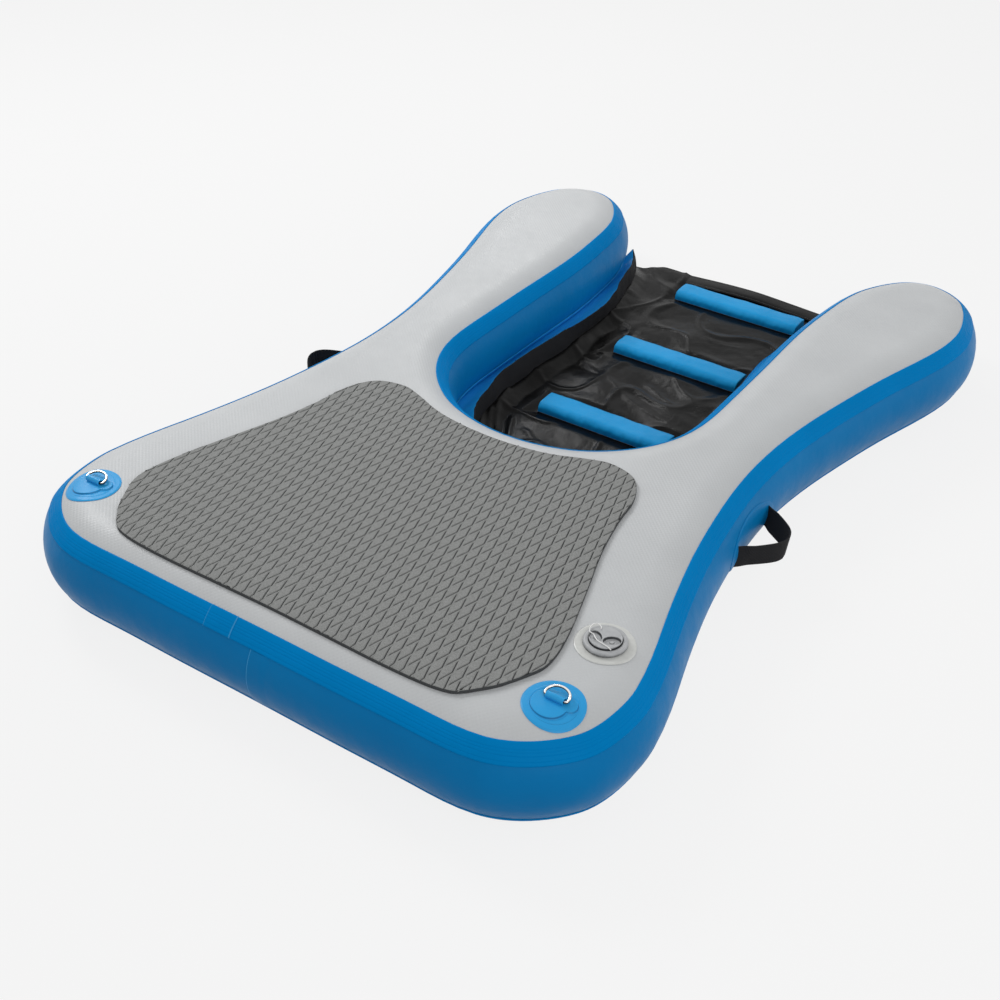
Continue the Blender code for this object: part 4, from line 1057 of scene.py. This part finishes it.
def build_handle(side, sign, blue, black):
    """One carry handle: the oval patch on the wall and the webbing loop sewn to it."""
    joint = JOINTS[f"{side}_handle_swing"]
    axis_place, axis = Vector(joint["pos_m"]), Vector(joint["axis"])
    out = Vector((axis.y, -axis.x, 0)) * sign
    along = float(np.interp(axis_place.y, PLAN[:TIP, 1], ALONG[:TIP])) * sign
    half_length = half_size(f"{side}_handle_patch", 1)
    middle = acos((axis_place.z - WALL_RADIUS) / WALL_RADIUS)

    def patch_place(u, v):
        turn = 2 * pi * u
        reach = 1 - v
        spot = along + sign * half_length * reach * cos(turn)
        return wall_spot(spot, middle - WALL_PATCH_ANGLE * reach * sin(turn), patch_lift(reach))

    bm = bent_grid(18, 72, patch_place, joined=True)
    if sign < 0:
        bmesh.ops.reverse_faces(bm, faces=bm.faces)
    thicken(bm, COVER_SHEET)
    piece(f"{side}_wall_patch", bm, blue, "hull", (f"{side}_handle_patch",))
    half = half_size(f"{side}_handle_strap", 2)
    half_line = spline([(x, y, 0) for x, y in STRAP_ROUTE], 5)
    line = half_line + [Vector((point.x, -point.y, 0)) for point in reversed(half_line)]
    count = len(line) - 1
    raised = STRAP_RISE if side == "left" else 0.0

    def strap_place(u, v):
        point = line[round(u * count)]
        across = (v * 2 - 1) * half
        root = smooth_step((0.010 - point.x) / 0.012)
        lean = 0.0015 * sin(u * 9) + 0.0032 * (1 - root)
        place = axis_place + out * (point.x - 0.0012 * root * (across / half) ** 2)
        place += axis * (point.y * sign + STRAP_SHIFT)
        return place + Vector((0, 0, across + raised * max(0.0, point.x))) + out * lean * across / half

    length = sum((after - before).length for before, after in zip(line, line[1:]))
    bm = thicken(bent_grid(10, count, strap_place, (length, 2 * half)), STRAP_SHEET)
    strap = piece(f"{side}_webbing_loop", bm, black, None, sharp=60)
    start, end = (axis_place + out * reach for reach in STRAP_BEND)
    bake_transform(strap)
    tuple(start)
    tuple(end)
    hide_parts(f"{side}_handle_strap")


# Where the ramp's edge starts along the outline, and how long it is up to the mouth's other side
SLOT_SIDE = slice(TIP, HALF + 1)
MOUTH_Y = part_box("ramp_edge_webbing")[1].y
MOUTH_START = float(np.interp(MOUTH_Y, PLAN[SLOT_SIDE, 1][::-1], ALONG[SLOT_SIDE][::-1]))
SLOT_RUN = PERIMETER - MOUTH_START - MOUTH_START


def slot_spot(share, into, height):
    """A point so far into the slot from its wall, at a share of the way round from mouth to mouth."""
    place, out = hull_at(MOUTH_START + SLOT_RUN * share)
    x, y = place + out * into
    return Vector((x, y, height))


def rumple(share, height, size, seed):
    """Cloth wrinkles from -1 to 1 round the slot."""
    return wrinkle(SLOT_RUN * share / size, height / (size * 1.6), seed)


def mouth_rise(share):
    """How far the edge dips before the slot's mouth and rises to a point at its corner."""
    off = min(share, 1 - share) * SLOT_RUN
    return MOUTH_RISE * (1 - smooth_step(off / 0.035)) ** 1.5 - MOUTH_DIP * (1 - smooth_step(off / 0.14))


def even_line(marks):
    """A smooth line through (place, value) marks, as the two rows that np.interp reads."""
    points = spline([(place, value, 0) for place, value in marks], 8)
    return [point.x for point in points], [point.y for point in points]


BAND_TOP_LINE = even_line(BAND_TOP_MARKS)
BAND_FOOT_LINE = even_line(BAND_FOOT_MARKS)


def band_into(share, v):
    """How far the standing edge is from the wall, at a share of its height."""
    place, _ = hull_at(MOUTH_START + SLOT_RUN * share)
    top, foot = (float(np.interp(place[1], *line)) for line in (BAND_TOP_LINE, BAND_FOOT_LINE))
    height = (EDGE_HIGH - EDGE_LOW) * v
    swing = 0.0016 * rumple(share, 0, 0.11, 3.1) + 0.0014 * rumple(share, height, 0.030, 7.7)
    swing += 0.0006 * rumple(share, height, 0.011, 1.3)
    return foot + (top - foot) * v + swing + 0.0020 * sin(pi * v)


def band_height(share, v):
    """The standing edge's height at a share of the way up it, with its top edge wavering."""
    waver = 0.0022 * rumple(share, 0, 0.07, 11.0)
    return EDGE_LOW + (EDGE_HIGH - EDGE_LOW + waver + mouth_rise(share)) * v


def build_band(black):
    """The webbing that stands round the ramp's edge, rumpled and drawn up at the mouth."""
    flat = (SLOT_RUN, BAND_WIDTH)
    bm = bent_grid(14, SLOT_STEPS, lambda u, v: slot_spot(u, band_into(u, v), band_height(u, v)), flat)
    thicken(bm, BAND_SHEET)
    replaced = ("ramp_edge_webbing",)
    made = piece("ramp_standing_edge", bm, black, "ramp", replaced, sharp=60)


def build_flap(blue):
    """The blue strip from its weld on the slot's wall out to the top of the standing edge."""
    flat = (SLOT_RUN, FLAP_WIDTH)
    weld, leave = FLAP_WELD

    def on_wall(u, angle):
        radius = WALL_RADIUS + FLAP_LIFT
        return slot_spot(u, radius * sin(angle) - WALL_RADIUS, WALL_RADIUS + radius * cos(angle))

    def place(u, v):
        if v < FLAP_WELDED:
            return on_wall(u, weld + (leave - weld) * v / FLAP_WELDED)
        share = (v - FLAP_WELDED) / (1 - FLAP_WELDED)
        end = slot_spot(u, band_into(u, 1) - 0.0012, band_height(u, 1) - 0.0010)
        sag = -0.004 * sin(pi * share) * (1 - 0.4 * rumple(u, 0, 0.05, 5.0))
        ripple = 0.0012 * rumple(u, share * 0.03, 0.02, 9.0) * sin(pi * share)
        return on_wall(u, leave).lerp(end, share) + Vector((0, 0, sag + ripple))

    bm = thicken(bent_grid(20, SLOT_STEPS, place, flat), FLAP_SHEET)
    made = piece("ramp_flap_strip", bm, blue, None, sharp=60)
    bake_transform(made)
    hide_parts("ramp_flap", "ramp_hinge_piping")


def half_width_at(y):
    """Half the ramp's width inside its standing edge at a Y."""
    into = np.interp(PLAN[:, 1], *BAND_FOOT_LINE) + BAND_SHEET
    line = (PLAN + OUT * into[:, None])[TIP : HALF + 1][::-1]
    return float(np.interp(y, line[:, 1], line[:, 0]))


def crease_height(x, y):
    """The highest of the creases at a place: each is a soft ridge that dies away at its ends."""
    found = 0.0
    for x0, y0, x1, y1, height, width in CREASES:
        length = hypot(x1 - x0, y1 - y0)
        along = ((x - x0) * (x1 - x0) + (y - y0) * (y1 - y0)) / length
        across = ((x - x0) * (y1 - y0) - (y - y0) * (x1 - x0)) / length
        bow = 0.06 * length * sin(pi * min(1, max(0, along / length)))
        past = max(0.0, -along, along - length)
        found = max(found, height * exp(-abs(across - bow) / width - (past / (2 * width)) ** 2))
    return found


def crumple(x, y):
    """The crests of the cloth's own wrinkles, from 0 to 1: sharp lines where a noise changes sign."""
    value = wrinkle(x / 0.10 + y / 0.3, y / 0.13 - x / 0.4, 2.0)
    return max(0.0, 1 - 4.5 * abs(value)) ** 1.4


def hem_arch(x, y):
    """The far edge lifts off the floor between its corners."""
    return HEM_ARCH * max(0.0, cos(pi * x / 0.40)) ** 2 * smooth_step((y - 0.672) / 0.030)


def build_cloth(cloth):
    """The ramp's cloth: flat under the rungs, creased between them, and turned up at its edges."""
    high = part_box("ramp_fabric")[1]
    rungs = [middle_of(f"rung_{i}_sleeve").y for i in (1, 2, 3)]
    dock = PLAN[HALF][1] + BAND_INTO_SLOT
    length = high.y - dock
    rows = [dock + length * i / CLOTH_ROWS for i in range(CLOTH_ROWS + 1)]
    widths = [half_width_at(y) for y in rows]
    gaps = (float(np.interp(y, *BAND_FOOT_LINE) - np.interp(y, *BAND_TOP_LINE)) for y in rows)
    leans = [gap / (EDGE_HIGH - EDGE_LOW) for gap in gaps]

    def place(u, v):
        row = round(v * CLOTH_ROWS)
        across = u * 2 - 1
        x = across * (widths[row] if row else 0.02)
        corner = smooth_step((abs(x) - 0.188) / 0.045) * smooth_step((rows[row] - 0.60) / 0.12)
        y = rows[row] - CORNER_CUT * corner
        edge = min(widths[row] - abs(x), (y - dock) * 0.9)
        rise = 0.012 * smooth_step((0.030 - edge) / 0.030)
        x += copysign(rise * leans[row] + 0.002 * smooth_step((0.01 - edge) / 0.01), x)
        index = min(range(3), key=lambda i: abs(y - rungs[i]))
        span, shift = RUNGS[index]
        beside = smooth_step((abs(y - rungs[index]) - 0.024) / 0.03)
        free = beside * smooth_step((high.y - 0.038 - y) / 0.03)
        under = max(free, smooth_step((abs(x - shift) - span / 2 - 0.002) / 0.02))
        fold = 0.0036 * (1 + wrinkle(x / 0.085 + y / 0.2, y / 0.065, 5.0))
        small = 0.0003 * (1 + wrinkle(x / 0.022, y / 0.017, 8.0))
        bumps = max(crease_height(x, y), 0.0040 * crumple(x, y), 0.45 * fold) + 0.8 * fold + small
        return x, y, 0.0004 + rise + bumps * under + hem_arch(x, y)

    flat = (2 * max(widths), length)
    bm = thicken(bent_grid(CLOTH_ROWS, 120, place, flat), CLOTH_SHEET)
    made = piece("ramp_cloth_sheet", bm, cloth, "ramp", ("ramp_fabric",), sharp=70)


def stitch_row(bm, points):
    """Adds a row of stitches along points, each a small cube stretched along the row."""
    points = [Vector(point) for point in points]
    size = Matrix.Diagonal((*STITCH_SIZE, 1))
    travelled, target = 0.0, STITCH_PITCH / 2
    for before, after in zip(points, points[1:]):
        step = after - before
        while travelled + step.length >= target:
            spot = before + step * ((target - travelled) / step.length)
            turn = step.to_track_quat("X", "Z").to_matrix().to_4x4()
            bmesh.ops.create_cube(bm, size=1.0, matrix=Matrix.Translation(spot) @ turn @ size)
            target += STITCH_PITCH
        travelled += step.length


def build_hem(cloth, sewing):
    """The folded strip across the far edge, with two rows of stitches."""
    low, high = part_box("ramp_hem_webbing")
    flat = (high.x - low.x, high.y - low.y)

    def place(u, v):
        x, y = low.x + flat[0] * u, low.y + flat[1] * v
        wave = 0.0011 * (1 + wrinkle(x / 0.06, 0.4, 3.0)) * sin(pi * (0.15 + 0.7 * v))
        return x, y, high.z + wave + hem_arch(x, y)

    bm = thicken(bent_grid(8, 90, place, flat), HEM_SHEET)
    hem = piece("ramp_hem_strip", bm, cloth, "ramp", ("ramp_hem_webbing",), sharp=60)
    bm = bmesh.new()
    for v in (0.10, 0.90):
        stitch_row(bm, [Vector(place(i / 120, v)) + Vector((0, 0, 0.0001)) for i in range(121)])
    piece("ramp_hem_stitches", bm, sewing, "ramp")


def build_rung(index, vinyl, sewing):
    """One padded rung: a soft flat bar with rounded edges and folded ends, sewn down along its foot."""
    low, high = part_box(f"rung_{index}_sleeve")
    span, shift = RUNGS[index - 1]
    centre = Vector((shift, (low.y + high.y) / 2, low.z + RUNG_HEIGHT / 2))
    size = Vector((span, RUNG_DEPTH, RUNG_HEIGHT))
    bm = bmesh.new()
    uv = bm.loops.layers.uv.new("UVMap")
    bmesh.ops.create_cube(bm, size=1.0, matrix=Matrix.Translation(centre) @ Matrix.Diagonal((*size, 1)))
    for hand, offset in RUNG_ROUNDING:
        along = [
            edge for edge in bm.edges
            if min(vert.co.z for vert in edge.verts) > low.z + size.z - MERGE
            and all((vert.co.y - centre.y) * hand > size.y / 2 - MERGE for vert in edge.verts)
        ]
        bmesh.ops.bevel(bm, geom=along, offset=offset, segments=5, **BEVEL)
    ends = [
        edge for edge in bm.edges
        if min(abs(vert.co.x - centre.x) for vert in edge.verts) > size.x / 2 - MERGE
        and max(vert.co.z for vert in edge.verts) > low.z + MERGE
    ]
    bmesh.ops.bevel(bm, geom=ends, offset=RUNG_END_ROUNDING, segments=2, **BEVEL)
    for axis, cuts in ((0, 90), (1, 8)):
        spans = [
            edge for edge in bm.edges
            if abs(edge.verts[0].co[axis] - edge.verts[1].co[axis]) > size[axis] / 2
        ]
        bmesh.ops.subdivide_edges(bm, edges=spans, cuts=cuts, use_grid_fill=True)
    for vert in bm.verts:
        x, y, z = vert.co
        height = (z - low.z) / size.z
        side = (y - centre.y) / (size.y / 2)
        end = smooth_step(1 - (size.x / 2 - abs(x - centre.x)) / RUNG_FOLD)
        ripple = wrinkle(x / 0.028, side * 1.1, index + height * 0.7)
        fine = wrinkle(x / 0.007, side * 2.3, index + 4)
        pull = max(0.0, 1 - height) * height * 4
        z += height * (0.0012 * (1 - side**2) + 0.0006 * ripple + 0.0002 * fine - 0.0008 * end)
        y += side * (height * (0.0010 * ripple - 0.0012) + 0.0011 * fine * pull)
        vert.co = (x + 0.0008 * fine * end, y, z)
    for face in bm.faces:
        for loop in face.loops:
            loop[uv].uv = (loop.vert.co.x, loop.vert.co.y + loop.vert.co.z)
    # The slope share places painted shade on the rung's front and lower faces
    mark_slopes(bm, -0.1, 0.75)
    cover = piece(
        f"rung_{index}_padded_cover", bm, vinyl, "ramp",
        (f"rung_{index}_sleeve", f"rung_{index}_foam"), sharp=50,
    )
    bm = bmesh.new()
    for hand in (-1, 1):
        y = centre.y + hand * (size.y / 2 + 0.0012)
        spots = np.linspace(centre.x - size.x / 2, centre.x + size.x / 2, 80)
        stitch_row(bm, [(x, y, low.z + 0.0006) for x in spots])
    piece(f"rung_{index}_stitches", bm, sewing, "ramp")


def build_camera():
    """The camera, turned about its own axis by the photo's slight roll."""
    a, e = CAMERA_AZIMUTH, CAMERA_ELEVATION
    back = Vector((sin(a) * cos(e), -cos(a) * cos(e), sin(e)))
    right = Vector((cos(a), sin(a), 0))
    up = back.cross(right)
    c, s = cos(CAMERA_ROLL), sin(CAMERA_ROLL)
    data = bpy.data.cameras.new("camera")
    data.lens = CAMERA_LENS
    data.sensor_width = 36
    data.clip_start, data.clip_end = 0.01, 60
    matrix = Matrix((right * c + up * s, up * c - right * s, back)).transposed().to_4x4()
    matrix.translation = Vector(CAMERA_TARGET) + back * CAMERA_DISTANCE
    camera = add_object("camera", data)
    camera.matrix_world = matrix
    bpy.context.scene.camera = camera


def build_light(name, place, aim, size, power):
    """A round lamp that looks from its place at a point."""
    data = bpy.data.lights.new(name, "AREA")
    data.shape, data.size, data.energy = "DISK", size, power
    lamp = add_object(name, data)
    lamp.location = place
    lamp.rotation_euler = (Vector(aim) - Vector(place)).to_track_quat("-Z", "Y").to_euler()


def seen_by_eye(tree):
    """1 for the rays from the camera and those that it sees in metal or through glass."""
    path = node(tree, "LightPath")
    seen = sums(tree, "MAXIMUM", path.outputs["Is Camera Ray"], path.outputs["Is Glossy Ray"])
    return sums(tree, "MAXIMUM", seen, path.outputs["Is Transmission Ray"])


def build_floor():
    """A plain pale floor, which the camera sees nearly as bright as its surround."""
    floor = bpy.data.materials.new("floor")
    floor.use_nodes = True
    tree = floor.node_tree
    shader = tree.nodes["Principled BSDF"]
    looks = {"Base Color": (*FLOOR_GREY, 1), "Roughness": 0.9, "Specular IOR Level": 0.0}
    for socket, value in looks.items():
        shader.inputs[socket].default_value = value
    glow = node(tree, "Emission", values=[("Color", (1, 1, 1, 1)), ("Strength", 1.0)])
    both = node(tree, "MixShader", [(0, sums(tree, "MULTIPLY", seen_by_eye(tree), FLOOR_GLOW))])
    tree.links.new(shader.outputs["BSDF"], both.inputs[1])
    tree.links.new(glow.outputs["Emission"], both.inputs[2])
    tree.links.new(both.outputs["Shader"], tree.nodes["Material Output"].inputs["Surface"])
    bm = bmesh.new()
    matrix = Matrix.Translation((0, 0, -FLOOR_DROP))
    bmesh.ops.create_circle(bm, cap_ends=True, segments=64, radius=FLOOR_RADIUS, matrix=matrix)
    add_object("floor", mesh_of("floor", bm, [floor]))


def build_stage():
    """The floor, a white surround and soft lamps."""
    world = bpy.data.worlds.new("studio")
    world.use_nodes = True
    tree = world.node_tree
    background = tree.nodes["Background"]
    background.inputs["Color"].default_value = (1, 1, 1, 1)
    strength = sums(tree, "MULTIPLY_ADD", seen_by_eye(tree), 1.0 - SKY_LIGHT, SKY_LIGHT)
    tree.links.new(strength, background.inputs["Strength"])
    bpy.context.scene.world = world
    build_floor()
    for lamp in LAMPS:
        build_light(*lamp)
    bpy.context.scene.view_settings.view_transform = "Standard"


def main():
    blue = blue_vinyl("wall_vinyl", (0.0005, 0.172, 0.44), (0.001, 0.192, 0.48), 0.4, 0.09)
    tape_blue = blue_vinyl("tape_vinyl", (0.0002, 0.205, 0.53), (0.0004, 0.225, 0.58), 0.38, 0.015)
    # A paler blue that is the painted highlight on the laps' cut edges
    lap_highlight_blue = blue_vinyl("lap_highlight_vinyl", (0.035, 0.29, 0.60), (0.05, 0.32, 0.64), 0.4, 0.09)
    patch_shades = ((0.02, 0.33, 0.70), (0.035, 0.365, 0.76))
    patch_blue = blue_vinyl("patch_vinyl", *patch_shades, 0.32)
    # The cover's steep colour is painted shade along its steps
    step_shade_blue = blue_vinyl("cover_vinyl", *patch_shades, 0.32, steep=(0.004, 0.14, 0.36))
    flap_blue = blue_vinyl("flap_vinyl", (0.018, 0.38, 0.78), (0.032, 0.42, 0.84), 0.36, 0.10)
    grey = moulded("valve_plastic", (0.42, 0.43, 0.44), (0.48, 0.49, 0.50))
    cap_shades = ((0.37, 0.38, 0.39), (0.44, 0.45, 0.46))
    # The cap plastic's steep colour is painted shade in the scoops and on the rim's wall
    painted_shade_grey = moulded("valve_cap_plastic", *cap_shades, steep=(0.035, 0.037, 0.04))
    patch_grey = moulded("valve_patch_film", (0.56, 0.57, 0.55), (0.61, 0.62, 0.60), 0.3)
    white = moulded("tether_plastic", (0.78, 0.78, 0.77), (0.84, 0.84, 0.83), 0.4)
    seal = moulded("seal_rubber", (0.015, 0.015, 0.015), (0.025, 0.025, 0.025), 0.7)
    foam = pad_foam("pad_foam", (0.175, 0.18, 0.175), (0.290, 0.295, 0.290))
    # A dark foam that is painted shade for the grooves and the pad's side
    painted_shade_foam = pad_foam("pad_painted_shade_foam", (0.030, 0.032, 0.034), (0.055, 0.058, 0.06))
    deck, cloth, black, sewing, steel, vinyl = (
        make() for make in (deck_vinyl, ramp_cloth, webbing, thread, chrome, pebbled_vinyl)
    )
    build_deck("hull_deck", True, deck, ("top_skin",))
    build_deck("hull_bottom", False, deck, ("bottom_skin",))
    build_wall(blue, tape_blue)
    wall_angles = (TAPE_LOW_ANGLE, pi - TAPE_LOW_ANGLE)
    build_joint("wall_joint_lap", [blue, lap_highlight_blue], WALL_JOINT, wall_angles, 24, 0.5, lambda share: 0.0)
    tape_angles = (TAPE_TOP_ANGLE, TAPE_LOW_ANGLE)
    build_joint(
        "tape_joint_lap", [tape_blue, lap_highlight_blue], TAPE_JOINT, tape_angles, 60, JOINT_SLOPE, tape_lift
    )
    build_pad(foam, painted_shade_foam)
    for side, sign in (("left", -1), ("right", 1)):
        build_tether_point(side, patch_blue, step_shade_blue, steel)
        build_handle(side, sign, blue, black)
    build_valve(grey, painted_shade_grey, seal, patch_grey)
    build_tether_line(white)
    build_spring(steel)
    build_flap(flap_blue)
    build_band(black)
    build_cloth(cloth)
    build_hem(cloth, sewing)
    for index in (1, 2, 3):
        build_rung(index, vinyl, sewing)
    build_camera()
    build_stage()


main()
